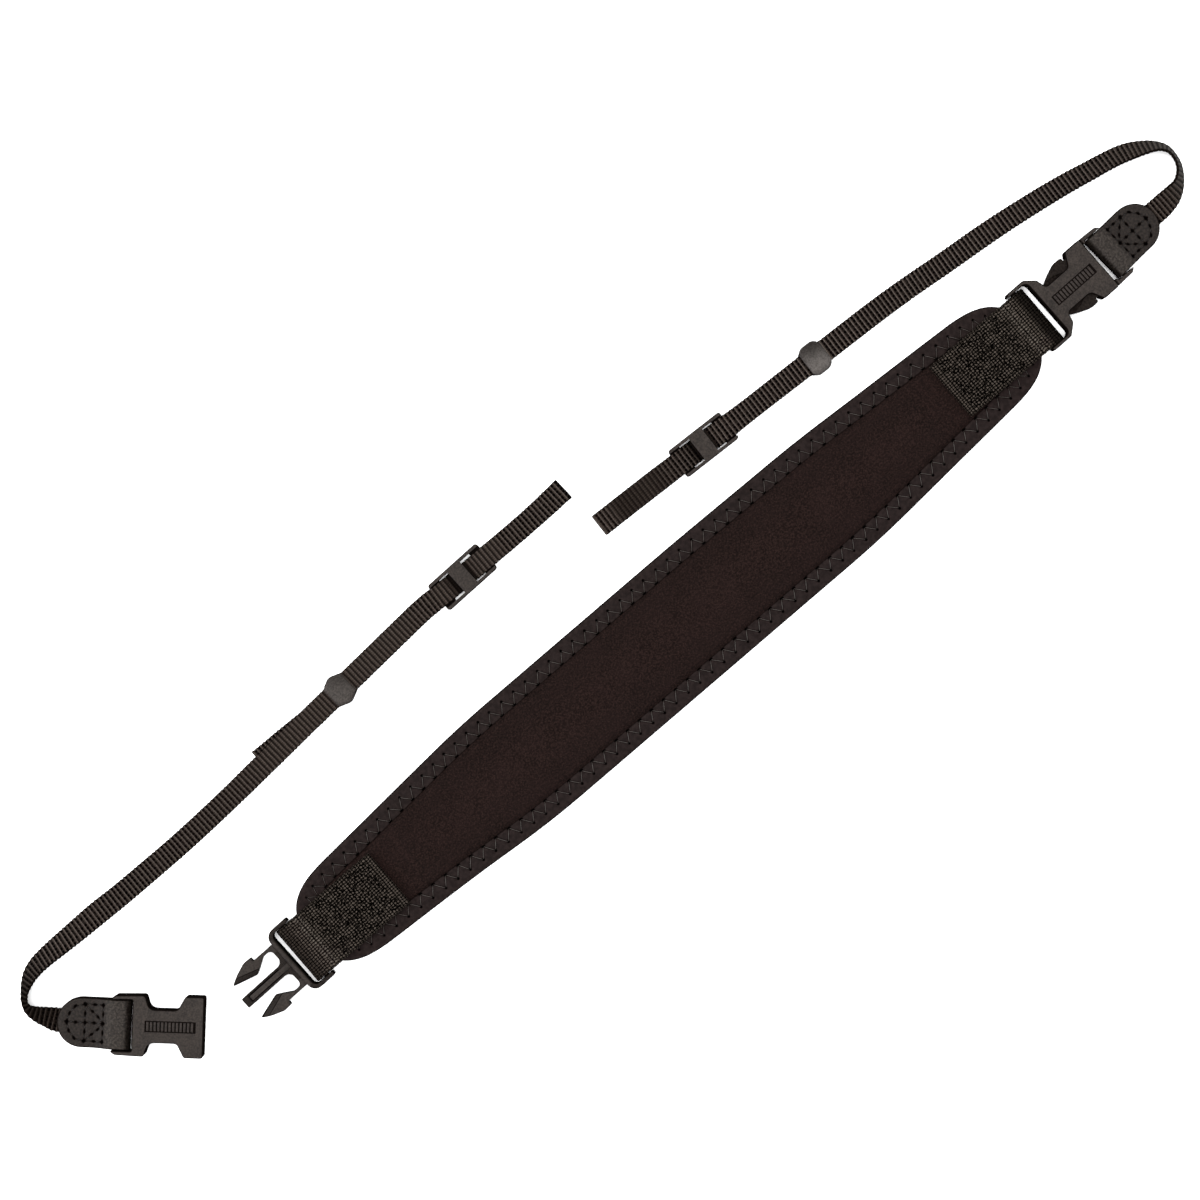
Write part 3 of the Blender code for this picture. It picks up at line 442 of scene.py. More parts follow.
def knit_finish():
    """Fine jersey laminated on foam: small regular loops and a soft brown-black mottle."""
    finish = Finish("knit_face", 0.85, 0.08)
    place = finish.own_place()
    loops = finish.cells(place, 0.5 * MM, randomness=0.6)
    mottle = finish.grain(place, 0.7 * MM, 3.0)
    patches = finish.grain(place, 9.0 * MM, 2.0)
    dark_tone, pale_tone = colour(0.0029, 0.0011, 0.0009), colour(0.0120, 0.0061, 0.0051)
    base = mottle.ramp(0.36, 0.64).blend(dark_tone, pale_tone)
    base = patches.ramp(0.3, 0.75, 0.0, 0.35).blend(base, colour(0.0120, 0.0060, 0.0054))
    base = loops.ramp(0.25, 0.6, 0.0, 0.6).blend(base, colour(0.0024, 0.0014, 0.0012))
    feed(finish.shader, Base_Color=base)
    finish.raise_surface(loops * -0.8 + mottle * 0.5, 0.16)
    return finish.material


def binding_finish():
    """Smooth stretch binding with the seam's needle holes. Its flat place counts the stitches along
    the edge, and gives how far a point lies from it. Painted shade darkens the needle holes, the
    dents the thread lies in, and both edges of the binding: where it turns down over the pad and
    where it meets the pad's face."""
    finish = Finish("stretch_binding", 0.75, 0.1)
    place = finish.own_place()
    threads = finish.cells(place, 0.42 * MM, randomness=0.4)
    mottle = finish.grain(place, 1.6 * MM, 3.0)
    dark_tone, pale_tone = colour(0.0051, 0.0029, 0.0026), colour(0.0110, 0.0070, 0.0064)
    base = mottle.ramp(0.3, 0.7).blend(dark_tone, pale_tone)
    base = threads.ramp(0.3, 0.6, 0.0, 0.45).blend(base, colour(0.0034, 0.0024, 0.0023))
    _place, stitch, inset = finish.flat_place()
    # Painted shade in the needle holes and in the dents the thread runs in
    dark = 0.0
    for shift, far, long, wide in ((0.5, OUTER_HOLES, 0.52, 0.62), (0.0, INNER_HOLES, 0.85, 0.42)):
        along = ((stitch + shift).fract() - 0.5) * STITCH_PITCH / long
        across = (inset - far) / wide
        dark = (along * along + across * across).ramp(1.7, 0.6).over(dark)
    turn = abs(stitch.fract() - 0.5)
    thread = INNER_HOLES - turn * (2 * (INNER_HOLES - OUTER_HOLES))
    dark = abs(inset - thread).ramp(0.8, 0.35, 0.0, 0.55).over(dark)
    # Painted shade along the edge where the binding turns down over the pad, and along its sewn
    # side where it meets the pad's face
    rim = inset.ramp(0.75, 0.1, 0.0, 0.6) + inset.ramp(7.55, 8.0, 0.0, 0.7)
    finish.sink_into_dark(rim.over(dark), base, 0.1)
    finish.raise_surface(threads * -0.6 + mottle * 0.5, 0.12)
    return finish.material


def strap_finish():
    """Thin webbing: each cross rib has a painted highlight along its crest, and painted shade in
    the row beside it, deepest in the pits between the warp ends there; painted shade also runs
    along the strap's two edges. The attribute open says how far the ribs stand apart."""
    finish = Finish("thin_webbing", 0.7, 0.1)
    flat, along, across = finish.flat_place()
    open_weave = finish.painted("open")
    wander = finish.grain(flat, 2.2, 1.0) - 0.5
    phase = (along / RIB_PITCH + wander * 0.16).fract()
    crest = abs(phase - 0.5).ramp(0.37, 0.47)
    off_row = phase - ROW_AT
    row = (abs(off_row) + (1.0 - open_weave) * 0.14).ramp(0.36, 0.22)
    end = (across / WARP_PITCH + wander * 0.7).fract() - 0.5
    far = off_row * 1.3
    pits = (end * end + far * far).ramp(0.19, 0.1)
    pits = pits * finish.grain(flat, 1.3, 0.0).ramp(0.28, 0.42)
    pits = pits * open_weave.ramp(0.15, 0.6)
    fine = abs((across * (math.pi / YARN_WIDTH)).sine())
    lines = abs((along * (math.pi / YARN_WIDTH)).sine())
    yarn = finish.grain(flat, 0.42, 2.0, 0.6) * 0.66 + fine * 0.17 + lines * 0.13
    dark_tone, pale_tone = colour(0.0030, 0.0018, 0.0013), colour(0.0227, 0.0165, 0.0126)
    base = yarn.ramp(0.36, 0.7).blend(dark_tone, pale_tone)
    # Painted shade in the row between two ribs
    shade = row * (0.75 - open_weave * 0.2)
    base = shade.blend(base, colour(0.0021, 0.0013, 0.0010))
    # Painted highlight along each rib's crest
    shine = crest * (open_weave * 0.55 + 0.2)
    shine = shine * finish.grain(flat, 0.9, 1.0).ramp(0.35, 0.6, 0.45, 1.0)
    base = shine.blend(base, colour(0.0800, 0.0650, 0.0560))
    # Painted shade along the strap's rounded edges, and in the pits
    edge = abs(across).ramp(4.0, 4.6, 0.0, 0.75)
    dark = finish.painted("dark").over(edge.over(pits))
    finish.sink_into_dark((shade * 0.6).over(dark), base, 0.12)
    finish.raise_surface(yarn - pits * 0.7, 0.2)
    return finish.material


def tab_finish():
    """Coarse one-inch webbing: nubs in rows across and in columns along, with painted shade in the
    gaps between them, in the irregular pits where it is sewn down, and between the stitches of its
    seams."""
    finish = Finish("tab_webbing", 0.72, 0.08)
    flat, along, across = finish.flat_place()
    wander = finish.grain(flat, 1.5, 1.0) - 0.5
    row = abs((along / NUB_LENGTH + wander * 0.55).fract() - 0.5)
    column = abs((across / NUB_WIDTH + wander * -0.8).fract() - 0.5)
    gap = row.ramp(0.16, 0.5, 0.0, 0.8) + column.ramp(0.14, 0.5, 0.0, 0.85)
    hem = along.ramp(2.35, 2.0)
    gap = gap * (1.0 - hem * 0.12)
    yarn = finish.grain(flat, 0.5, 2.0, 0.6)
    pits = finish.grain(flat, 0.75, 0.5).ramp(0.48, 0.58)
    patches = finish.grain(flat, 3.5, 1.0).ramp(0.32, 0.5)
    pits = pits * (patches * finish.painted("sewn"))
    dark_tone, pale_tone = colour(0.0130, 0.0095, 0.0072), colour(0.0540, 0.0440, 0.0365)
    base = yarn.ramp(0.32, 0.68).blend(dark_tone, pale_tone)
    beads = abs((across / SEAM_STITCH).fract() - 0.5).ramp(0.34, 0.2)
    seam = 0.0
    for from_end in TAB_SEAMS:
        seam = abs(along - (TAB_LENGTH - from_end)).ramp(0.5, 0.3).over(seam)
    base = (seam * beads).blend(base, colour(0.060, 0.051, 0.043))
    gap = gap * (1.0 - seam * 0.4)
    # Painted shade in the sewn pits, between the seams' stitches, and in the gaps between the nubs
    dark = finish.painted("dark").over(pits)
    dark = (seam * beads.ramp(0.6, 0.2, 0.0, 0.85)).over(dark)
    finish.sink_into_dark(gap.ramp(0.05, 0.8).over(dark), base, 0.1)
    finish.raise_surface(yarn * 0.8 - gap - pits, 0.22)
    return finish.material


def leather_finish():
    """Fine-grained leather: small pebbles, and a paler tone from near the seam's end up to where it
    turns round the bar.
    """
    finish = Finish("leather", 0.6, 0.22)
    flat, _along, _across = finish.flat_place()
    pebbles = finish.cells(flat, 0.62, randomness=0.9)
    creases = finish.cells(flat, 0.62, randomness=0.9, feature="DISTANCE_TO_EDGE")
    mottle = finish.grain(flat, 0.9, 3.0)
    share = mottle.ramp(0.3, 0.7)
    plain_tone = share.blend(colour(0.0032, 0.0021, 0.0015), colour(0.0142, 0.0104, 0.0084))
    paler_near_bar = share.blend(colour(0.0057, 0.0042, 0.0032), colour(0.0285, 0.0233, 0.0195))
    base = finish.painted("paler_near_bar").blend(plain_tone, paler_near_bar)
    base = (creases.ramp(0.2, 0.0) * 0.6).blend(base, colour(0.0047, 0.0036, 0.0031))
    finish.sink_into_dark(finish.painted("dark"), base, 0.2)
    finish.raise_surface(mottle * 0.4 - pebbles, 0.14)
    return finish.material


def plastic_finish(name, low, high, roughness, depths, crease=None, shaded=False):
    """Moulded plastic with the fine texture of an eroded mould. Each of depths darkens it with
    painted shade where its grooves and side walls hold less light: (height it starts at, height it
    is full at, amount). A line of painted shade follows the height crease, and the attribute dark
    adds more painted shade to a shaded piece."""
    finish = Finish(name, roughness, PLASTIC_SHINE)
    place = finish.own_place()
    fine = finish.grain(place, 0.6 * MM, 3.0, 0.7)
    cloud = finish.grain(place, 5.0 * MM, 2.0)
    base = (fine * 0.8 + cloud * 0.2).ramp(0.33, 0.67).blend(low, high)
    height = finish.parts(place)[2]
    deep = finish.painted("dark") if shaded else 0.0
    for start, full, amount in depths:
        deep = height.ramp(full * MM, start * MM, amount, 0.0).over(deep)
    if crease:
        deep = abs(height - crease * MM).ramp(0.05 * MM, 0.11 * MM, 0.9, 0.0).over(deep)
    finish.sink_into_dark(deep, base, PLASTIC_SHINE)
    feed(finish.shader, Roughness=cloud.ramp(0.3, 0.7, roughness - 0.05, roughness + 0.06))
    finish.raise_surface(fine, 0.12)
    return finish.material


def thread_finish(name, base):
    """Twisted thread, duller between its turns."""
    finish = Finish(name, 0.5, 0.4)
    twist = finish.grain(finish.own_place(), 0.3 * MM, 1.0)
    dull = colour(*(0.6 * part for part in base[:3]))
    feed(finish.shader, Base_Color=twist.ramp(0.35, 0.65).blend(dull, base))
    finish.raise_surface(twist, 0.05)
    return finish.material


# ---------------------------------------------------------------- modelling tools


def alone(piece):
    """Selects one piece and nothing else."""
    bpy.ops.object.select_all(action="DESELECT")
    piece.select_set(True)
    bpy.context.view_layer.objects.active = piece


def finish_modifier(piece, name):
    alone(piece)
    bpy.ops.object.modifier_apply(modifier=name)


@contextmanager
def editing(piece):
    """Edit mode, with the whole piece selected."""
    alone(piece)
    bpy.ops.object.mode_set(mode="EDIT")
    bpy.ops.mesh.select_all(action="SELECT")
    yield
    bpy.ops.object.mode_set(mode="OBJECT")


def thicken(piece, height):
    """Gives a flat outline or sheet its thickness, upwards."""
    with editing(piece):
        bpy.ops.mesh.extrude_region_move(TRANSFORM_OT_translate={"value": (0, 0, height * MM)})
        bpy.ops.mesh.select_all(action="SELECT")
        bpy.ops.mesh.normals_make_consistent(inside=False)


def bevel(piece, name, width, segments, angle):
    """A bevel along the edges that are sharper than angle."""
    edge = piece.modifiers.new(name, "BEVEL")
    edge.width = width * MM
    edge.segments = segments
    edge.limit_method = "ANGLE"
    edge.angle_limit = math.radians(angle)
    return edge


def round_edges(piece, width, segments, angle=35):
    """Rounds the edges that are sharper than angle, and joins the points that run together."""
    bevel(piece, "rounded", width, segments, angle)
    finish_modifier(piece, "rounded")
    with editing(piece):
        bpy.ops.mesh.remove_doubles(threshold=0.002 * MM)


def new_piece(name, points, faces):
    """A piece from its points, in metres, and faces."""
    mesh = bpy.data.meshes.new(name)
    mesh.from_pydata(points, [], faces)
    piece = bpy.data.objects.new(name, mesh)
    bpy.context.scene.collection.objects.link(piece)
    return piece


def smooth(piece, angle):
    alone(piece)
    bpy.ops.object.shade_smooth_by_angle(angle=math.radians(angle))


def clamped(value, low=0.0, high=1.0):
    return min(max(value, low), high)


def eased(value, start, end):
    """0 before start, 1 after end, and an S-curve between them."""
    t = clamped((value - start) / (end - start))
    return t * t * (3 - 2 * t)


def read_off(table, x, otherwise):
    """The value at x of a table of (x, value), on a straight line from one row to the next."""
    for (x0, value0), (x1, value1) in pairwise(table):
        if x0 <= x <= x1:
            return value0 + (value1 - value0) * (x - x0) / (x1 - x0)
    return otherwise


def distances(points):
    """How far each point lies from the first, along the line through them."""
    return [0.0, *accumulate((b - a).length for a, b in pairwise(points))]


def flat_sheet(name, length, width, step, across):
    """A sheet cut flat: its length along X from 0, its width about y = 0."""
    bpy.ops.object.select_all(action="DESELECT")
    bpy.ops.mesh.primitive_grid_add(
        x_subdivisions=round(length / step),
        y_subdivisions=across,
        size=1.0,
        location=(length / 2 * MM, 0, 0),
    )
    sheet = bpy.context.object
    sheet.name = sheet.data.name = name
    sheet.scale = (length * MM, width * MM, 1)
    bpy.ops.object.transform_apply(location=True, rotation=True, scale=True)
    while sheet.data.uv_layers:
        sheet.data.uv_layers.remove(sheet.data.uv_layers[0])
    return sheet


def flat_strip(name, length, half, thick, step, across, rim, shape=None):
    """A strip cut flat, with its thickness about z = 0 and rounded long edges. shape moves the flat
    sheet's points before it is given its thickness."""
    strip = flat_sheet(name, length, 2 * half, step, across)
    if shape:
        move_points(strip, shape)
    with editing(strip):
        bpy.ops.transform.translate(value=(0, 0, -thick / 2 * MM))
    thicken(strip, thick)
    round_edges(strip, rim, 2, 60)
    return strip


def move_points(piece, move):
    """Moves each point as move(x, y, z) says, in millimetres."""
    for vertex in piece.data.vertices:
        x, y, z = vertex.co / MM
        vertex.co = Vector(move(x, y, z)) * MM
    piece.data.update()


def keep_flat_place(piece, rule=lambda x, y: (x, y)):
    """Stores where each point lies on the flat sheet, in millimetres or as the rule says, as the UV
    map named cut."""
    layer = piece.data.uv_layers.new(name="cut")
    for loop in piece.data.loops:
        x, y, _z = piece.data.vertices[loop.vertex_index].co / MM
        layer.uv[loop.index].vector = rule(x, y)


def paint(piece, name, amount):
    """Stores amount(x, y, z) at each point as an attribute that a finish reads."""
    values = [amount(*(vertex.co / MM)) for vertex in piece.data.vertices]
    layer = piece.data.attributes.new(name, "FLOAT", "POINT")
    layer.data.foreach_set("value", values)


Stop = namedtuple("Stop", "at across half")
Frame = namedtuple("Frame", "at across normal half")


class Way:
    """The path that a strip is laid along, by the distance from its start."""

    def __init__(self, stops):
        self.reach = distances([stop.at for stop in stops])
        self.frames = []
        for i, stop in enumerate(stops):
            ahead = stops[min(i + 1, len(stops) - 1)].at - stops[max(i - 1, 0)].at
            normal = ahead.cross(stop.across).normalized()
            self.frames.append(Frame(stop.at, stop.across.normalized(), normal, stop.half))

    @property
    def length(self):
        return self.reach[-1]

    def at(self, distance):
        i = clamped(bisect.bisect_right(self.reach, distance) - 1, 0, len(self.reach) - 2)
        span = self.reach[i + 1] - self.reach[i]
        t = (distance - self.reach[i]) / span
        a, b = self.frames[i], self.frames[i + 1]
        return Frame(
            a.at.lerp(b.at, t),
            a.across.lerp(b.across, t).normalized(),
            a.normal.lerp(b.normal, t).normalized(),
            a.half + (b.half - a.half) * t,
        )

    def place(self, distance, aside, height, half):
        """The point aside of the way's middle and above it, on a strip cut with this half width."""
        spot = self.at(distance)
        return spot.at + spot.across * (aside * spot.half / half) + spot.normal * height


def lay(piece, way, half):
    """Bends a flat piece along a way: x becomes the distance along it, y across it, z above it."""
    move_points(piece, lambda x, y, z: way.place(x, y, z, half))


def spread(x, y, z, half, share):
    """Gathers a strip's rows towards its long edges."""
    t = y / half
    return x, half * ((1 - share) * t + share * math.sin(t * math.pi / 2)), z


# ---------------------------------------------------------------- ways of the strips


def slopes(positions, values, monotone):
    """A smooth curve's slope at each value; a monotone one never swings past its values."""
    steps = [b - a for a, b in pairwise(positions)]
    rises = [(b - a) / step for (a, b), step in zip(pairwise(values), steps)]
    found = [rises[0]]
    for i in range(1, len(rises)):
        before, after = rises[i - 1], rises[i]
        if not monotone:
            found.append((before * steps[i] + after * steps[i - 1]) / (steps[i - 1] + steps[i]))
        elif before * after <= 0:
            found.append(0.0)
        else:
            found.append(2 * before * after / (before + after))
    return found + [rises[-1]]


def smooth_route(route):
    """Closer rows, on the smooth curves through a route's own rows."""
    ends = [0.0, *accumulate(math.dist(a[:2], b[:2]) for a, b in pairwise(route))]
    columns = []
    for name, values in zip(Route._fields, zip(*route)):
        columns.append((values, slopes(ends, values, monotone=name not in ("x", "y"))))
    rows = []
    for i in range(len(route) - 1):
        step = ends[i + 1] - ends[i]
        count = max(2, round(step / ROUTE_STEP))
        for k in range(count):
            t = k / count
            row = []
            for values, slope in columns:
                value = values[i] * (1 + 2 * t) * (1 - t) ** 2 + values[i + 1] * t * t * (3 - 2 * t)
                value += step * (slope[i] * t * (1 - t) ** 2 - slope[i + 1] * t * t * (1 - t))
                row.append(value)
            rows.append(Route(*row))
    return rows + [route[-1]]


def strap_way(route, inner_side, tail_end, offsets=()):
    """A thin strap's way along its upper layer, round the folded end and back beneath, and how many
    stops the upper layer has."""
    rows = smooth_route(route)
    upper = []
    for i, row in enumerate(rows):
        before, after = rows[max(i - 1, 0)], rows[min(i + 1, len(rows) - 1)]
        ahead = Vector((after.x - before.x, after.y - before.y, 0)).normalized()
        roll = math.radians(row.roll)
        left = Vector((-ahead.y, ahead.x, 0))
        across = left * math.cos(roll) + Vector((0, 0, inner_side * math.sin(roll)))
        height = row.half * math.sin(roll) + STRAP_THICK / 2 * math.cos(roll) + row.lift
        upper.append(Stop(Vector((row.x, row.y, height)), across, row.half))
    last = upper[-1]
    ahead = last.at - upper[-2].at
    ahead.z = 0
    ahead.normalize()
    radius = LAYER_STEP / 2
    fold, fold_steps = [], 12
    for k in range(1, fold_steps):
        turn = math.pi * k / fold_steps
        move = ahead * radius * math.sin(turn) + Vector((0, 0, radius * (math.cos(turn) - 1)))
        fold.append(Stop(last.at + move, last.across, last.half))
    tail = []
    for stop in reversed(upper):
        if abs(stop.at.x) > abs(tail_end):
            break
        aside = Vector((0, read_off(offsets, stop.at.x, 0.0), -LAYER_STEP))
        tail.append(Stop(stop.at + aside, stop.across, stop.half))
    return Way(upper + fold + tail), len(upper)


def wrapped_way(x, y, turn, path, half):
    """The way of a strip folded round a bar, from its path of (distance from the bar, height)."""
    along = Vector((math.cos(math.radians(turn)), math.sin(math.radians(turn)), 0))
    across = Vector((along.y, -along.x, 0))
    bar = Vector((x, y, 0))
    return Way([Stop(bar + along * far + Vector((0, 0, high)), across, half) for far, high in path])


def round_bar(radius, reach):
    """The half turn round a bar, from above it to below it."""
    steps = 20
    turns = [math.pi / 2 + math.pi * k / steps for k in range(steps + 1)]
    return [(reach * math.cos(turn), BUCKLE_Z + radius * math.sin(turn)) for turn in turns]


def stepped(start, end, step):
    """Even steps from start to end, both included."""
    count = max(1, round(abs(end - start) / step))
    return [start + (end - start) * k / count for k in range(count + 1)]


def tab_path():
    """A webbing tab's path, from the end of its upper layer to the end of its lower one."""
    over, under = BUCKLE_Z + TAB_WRAP, BUCKLE_Z - TAB_WRAP
    path = [(far, over) for far in stepped(TAB_LENGTH, 0.6, 0.6)]
    path += round_bar(TAB_WRAP, TAB_REACH)
    for far in stepped(0.6, TAB_LENGTH, 0.45):
        path.append((far, under + (TAB_LOWER_Z - under) * eased(far, 0.9, 4.5)))
    return path


def leather_path(length, reach):
    """A leather tab's path, from the tip of its upper layer to the tip of its lower one."""
    over, under = BUCKLE_Z + LEATHER_WRAP, BUCKLE_Z - LEATHER_WRAP
    path = []
    for far in stepped(length, 0.5, 0.4):
        path.append((far, over - (over - LEATHER_UPPER_Z) * eased(far, 2.0, 10.5)))
    path += round_bar(LEATHER_WRAP, reach)
    for far in stepped(0.5, length, 0.4):
        path.append((far, under - (under - LEATHER_LOWER_Z) * eased(far, 1.0, 7.0)))
    return path


# ---------------------------------------------------------------- sewing


def sew(name, stitches, place, radius, finish, rise, sink):
    """A seam's thread: each stitch is the same short arched tube, from one hole to the next.
    place(along, across, height) gives the point above the cloth."""
    bpy.ops.object.select_all(action="DESELECT")
    bpy.ops.mesh.primitive_cylinder_add(vertices=6, radius=1, depth=1, rotation=(0, math.pi / 2, 0))
    model = bpy.context.object
    bpy.ops.object.transform_apply(location=False, rotation=True, scale=False)
    lengths = 7
    with editing(model):
        for k in range(1, lengths):
            bpy.ops.mesh.select_all(action="SELECT")
            bpy.ops.mesh.bisect(plane_co=(k / lengths - 0.5, 0, 0), plane_no=(1, 0, 0))
    points = [tuple(vertex.co) for vertex in model.data.vertices]
    faces = [tuple(face.vertices) for face in model.data.polygons]
    spots, sides = [], []
    for start, end in stitches:
        span = Vector(end) - Vector(start)
        across = Vector((-span.y, span.x)).normalized()
        first = len(spots)
        for x, y, z in points:
            t = x + 0.5
            arch = max(math.sin(math.pi * t), 0.0) ** 0.6
            thin = 0.45 + 0.55 * arch
            flat = Vector(start) + span * t + across * (y * radius * thin)
            spots.append(place(flat.x, flat.y, z * radius * thin + rise * arch - sink) * MM)
        sides += [tuple(first + i for i in face) for face in faces]
    bpy.data.objects.remove(model)
    thread = new_piece(name, spots, sides)
    thread.data.validate()
    with editing(thread):
        bpy.ops.mesh.normals_make_consistent(inside=False)
    thread.data.materials.append(finish)
    smooth(thread, 60)
    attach(thread, "strap")
    return thread


# ---------------------------------------------------------------- pad and binding


def pad_half_width(x):
    """The pad's half width at x: straight to the taper, with a soft bend into it."""
    length = TAPER_FULL - TAPER_FROM
    bend = clamped(x - TAPER_FROM, 0.0, length)
    return PAD_HALF_WIDTH - TAPER_SLOPE * (bend * bend / (2 * length) + max(x - TAPER_FULL, 0.0))


def drawn_in(x, side):
    """How far the seam draws the edge in at x, on one side."""
    depth = 0.0
    for middle, its_side, most, reach in DRAWN_IN:
        away = abs(x - middle) / reach
        if side == its_side and away < 1:
            depth += most * math.cos(away * math.pi / 2) ** 2
    return depth


def corner_share(x):
    """How much of the pad's half width is left at x, in its round corners."""
    reach = clamped((abs(x) - CORNER_FROM) / CORNER_LENGTH)
    return max(1.0 - reach**3, 0.0) ** (1 / 3)


class PadEdge:
    """The pad's outline, counterclockwise from its +X end, by the distance along it."""

    def __init__(self):
        quarter = [Vector((x / 2, pad_half_width(x / 2))) for x in range(2 * int(CORNER_FROM))]
        for quarter_degree in range(4 * 90 + 1):
            turn = math.radians(quarter_degree / 4)
            x = CORNER_FROM + CORNER_LENGTH * math.sin(turn) ** (2 / 3)
            share = max(math.cos(turn), 0.0) ** (2 / 3)
            quarter.append(Vector((x, pad_half_width(x) * share)))
        quarter[-1].y = 0.0
        points = list(reversed(quarter))
        points += [Vector((-p.x, p.y)) for p in quarter[1:]]
        points += [Vector((-p.x, -p.y)) for p in reversed(quarter[:-1])]
        points += [Vector((p.x, -p.y)) for p in quarter[1:]]
        for point in points:
            side = 1 if point.y > 0 else -1
            point.y -= side * drawn_in(point.x, side)
        self.points = points
        self.reach = distances(points)
        self.length = self.reach[-1]

    def spot(self, distance):
        distance %= self.length
        i = min(bisect.bisect_right(self.reach, distance), len(self.points) - 1)
        span = self.reach[i] - self.reach[i - 1]
        t = (distance - self.reach[i - 1]) / span if span else 0.0
        return self.points[i - 1].lerp(self.points[i], t)

    def at(self, distance):
        """The edge's point and the way inwards there."""
        ahead = self.spot(distance + 1.2) - self.spot(distance - 1.2)
        return self.spot(distance), Vector((-ahead.y, ahead.x)).normalized()


EDGE = PadEdge()


def zigzag_holes():
    """Each hole of the zigzag seam: (distance round the edge, distance from the edge)."""
    chance = random.Random(5)
    count = round(EDGE.length / STITCH_PITCH)
    pitch = EDGE.length / count
    holes = []
    for k in range(count):
        start = (k + 0.25) * pitch
        outer = start + chance.uniform(-0.25, 0.25)
        inner = start + 0.47 * pitch + chance.uniform(-0.3, 0.3)
        holes.append((outer, OUTER_HOLES + chance.uniform(-0.15, 0.15)))
        holes.append((inner, INNER_HOLES + chance.uniform(-0.12, 0.12)))
    return holes


HOLES = zigzag_holes()
HOLE_REACH = [hole[0] for hole in HOLES]


def holes_near(distance, span=5.0):
    """The seam's holes within span of a distance round the edge, as (along, inset) from there."""
    distance %= EDGE.length
    first = bisect.bisect_left(HOLE_REACH, distance - span)
    last = bisect.bisect_right(HOLE_REACH, distance + span)
    found = [(reach - distance, inset) for reach, inset in HOLES[first:last]]
    if distance < span:
        back = distance + EDGE.length
        found += [(reach - back, inset) for reach, inset in HOLES if reach > back - span]
    if distance > EDGE.length - span:
        on = distance - EDGE.length
        found += [(reach - on, inset) for reach, inset in HOLES if reach < on + span]
    return found


def seam_dent(distance, inset):
    """How far the seam pulls the binding down at a point: at its holes, and along its threads."""
    near = holes_near(distance)
    deep = 0.0
    for along, its_inset in near:
        away = along * along + (inset - its_inset) ** 2 / 0.7
        deep += 0.62 * math.exp(-away / 0.55) + 0.20 * math.exp(-away / 5.0)
    for (a0, i0), (a1, i1) in pairwise(near):
        span = Vector((a1 - a0, i1 - i0))
        t = clamped((-a0 * span.x + (inset - i0) * span.y) / span.length_squared)
        away = (a0 + span.x * t) ** 2 + (inset - i0 - span.y * t) ** 2
        deep = max(deep, 0.22 * math.exp(-away / 0.35))
    return deep


def stitch_count(distance):
    """How many whole stitches there are up to a distance round the edge. Each begins at an outer
    hole."""
    i = bisect.bisect_right(HOLE_REACH, distance) - 1
    before = HOLE_REACH[i] if i >= 0 else HOLE_REACH[-1] - EDGE.length
    after = HOLE_REACH[i + 1] if i + 1 < len(HOLES) else HOLE_REACH[0] + EDGE.length
    return 0.5 * (i + (distance - before) / (after - before))


def band_height(inset):
    """The binding's top, a low dome between its edge and its sewn side."""
    dome = math.sin(math.pi * clamped((inset - 0.6) / 7.6))
    return RIM_HEIGHT - 0.15 + 0.32 * dome


def tape_fold():
    """The binding's cross-section, from the sewn top edge round the pad's edge to the underside."""
    flat_from, middle, steps = 1.3, 1.75, 10
    fold = [(inset, band_height(inset)) for inset in stepped(BINDING_WIDTH, flat_from, 0.48)]
    for k in range(1, steps):
        turn = math.pi * k / steps
        far = 1.0 - max(math.sin(turn), 0.0) ** 0.75
        high = math.copysign(abs(math.cos(turn)) ** 0.8, math.cos(turn))
        fold.append((flat_from * far, middle + 1.74 * high))
    fold += [(inset, 0.0) for inset in stepped(flat_from, BINDING_WIDTH, 1.6)]
    return fold


def make_binding(finish):
    """Tape folded over the pad's whole edge, pulled down along the zigzag seam."""
    fold = tape_fold()
    count = round(EDGE.length / 0.75)
    columns = len(fold) - 1
    band = flat_sheet("bound_edge", count, columns, 1.0, columns)
    rows = [EDGE.at(row / count * EDGE.length) for row in range(count)]
    above = 2.5

    def seam_place(x, y):
        inset, height = fold[round(y + columns / 2)]
        return stitch_count(round(x) / count * EDGE.length), inset if height > above else -10.0

    def folded(x, y, _z):
        row = round(x) % count
        point, inward = rows[row]
        inset, height = fold[round(y + columns / 2)]
        if inset > 1.0 and height > above:
            height -= seam_dent(row / count * EDGE.length, inset)
        spot = point + inward * inset
        return spot.x, spot.y, height

    keep_flat_place(band, seam_place)
    move_points(band, folded)
    with editing(band):
        bpy.ops.mesh.remove_doubles(threshold=0.00001)
        bpy.ops.mesh.normals_make_consistent(inside=False)
    wall = band.modifiers.new("wall", "SOLIDIFY")
    wall.thickness = BINDING_THICK * MM
    wall.offset = -1.0
    finish_modifier(band, "wall")
    band.data.materials.append(finish)
    smooth(band, 60)
    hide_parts("edge_binding")
    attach(band, "strap")


def on_band(distance, inset, height):
    """The point at a height above the binding."""
    point, inward = EDGE.at(distance)
    spot = point + inward * inset
    return Vector((spot.x, spot.y, band_height(inset) + height))


def panel_height(inset, x):
    """The pad's top, from under the binding up to the face, which is lower where a tab lies."""
    thick = PAD_THICK - (PAD_THICK - RIM_HEIGHT) * eased(abs(x), TAB_SEAT_FROM, TAB_SEAT_FULL)
    climb = eased(inset, 6.9, 10.6) ** 0.8
    crown = 0.22 * eased(inset, 9.0, 25.0) * (1 - eased(abs(x), 120.0, 140.0))
    return UNDER_BINDING + (thick - 0.1 - UNDER_BINDING) * climb + crown


def pad_inset(share):
    """How far from the edge a row of the pad lies, from its share of the way out to the edge."""
    if share > ROWS_CLOSER:
        return PAD_RIM + (1 - share) / (1 - ROWS_CLOSER) * (CLOSER_INSET - PAD_RIM)
    return CLOSER_INSET + (ROWS_CLOSER - share) / (ROWS_CLOSER - 0.5) * (EVEN_INSET - CLOSER_INSET)


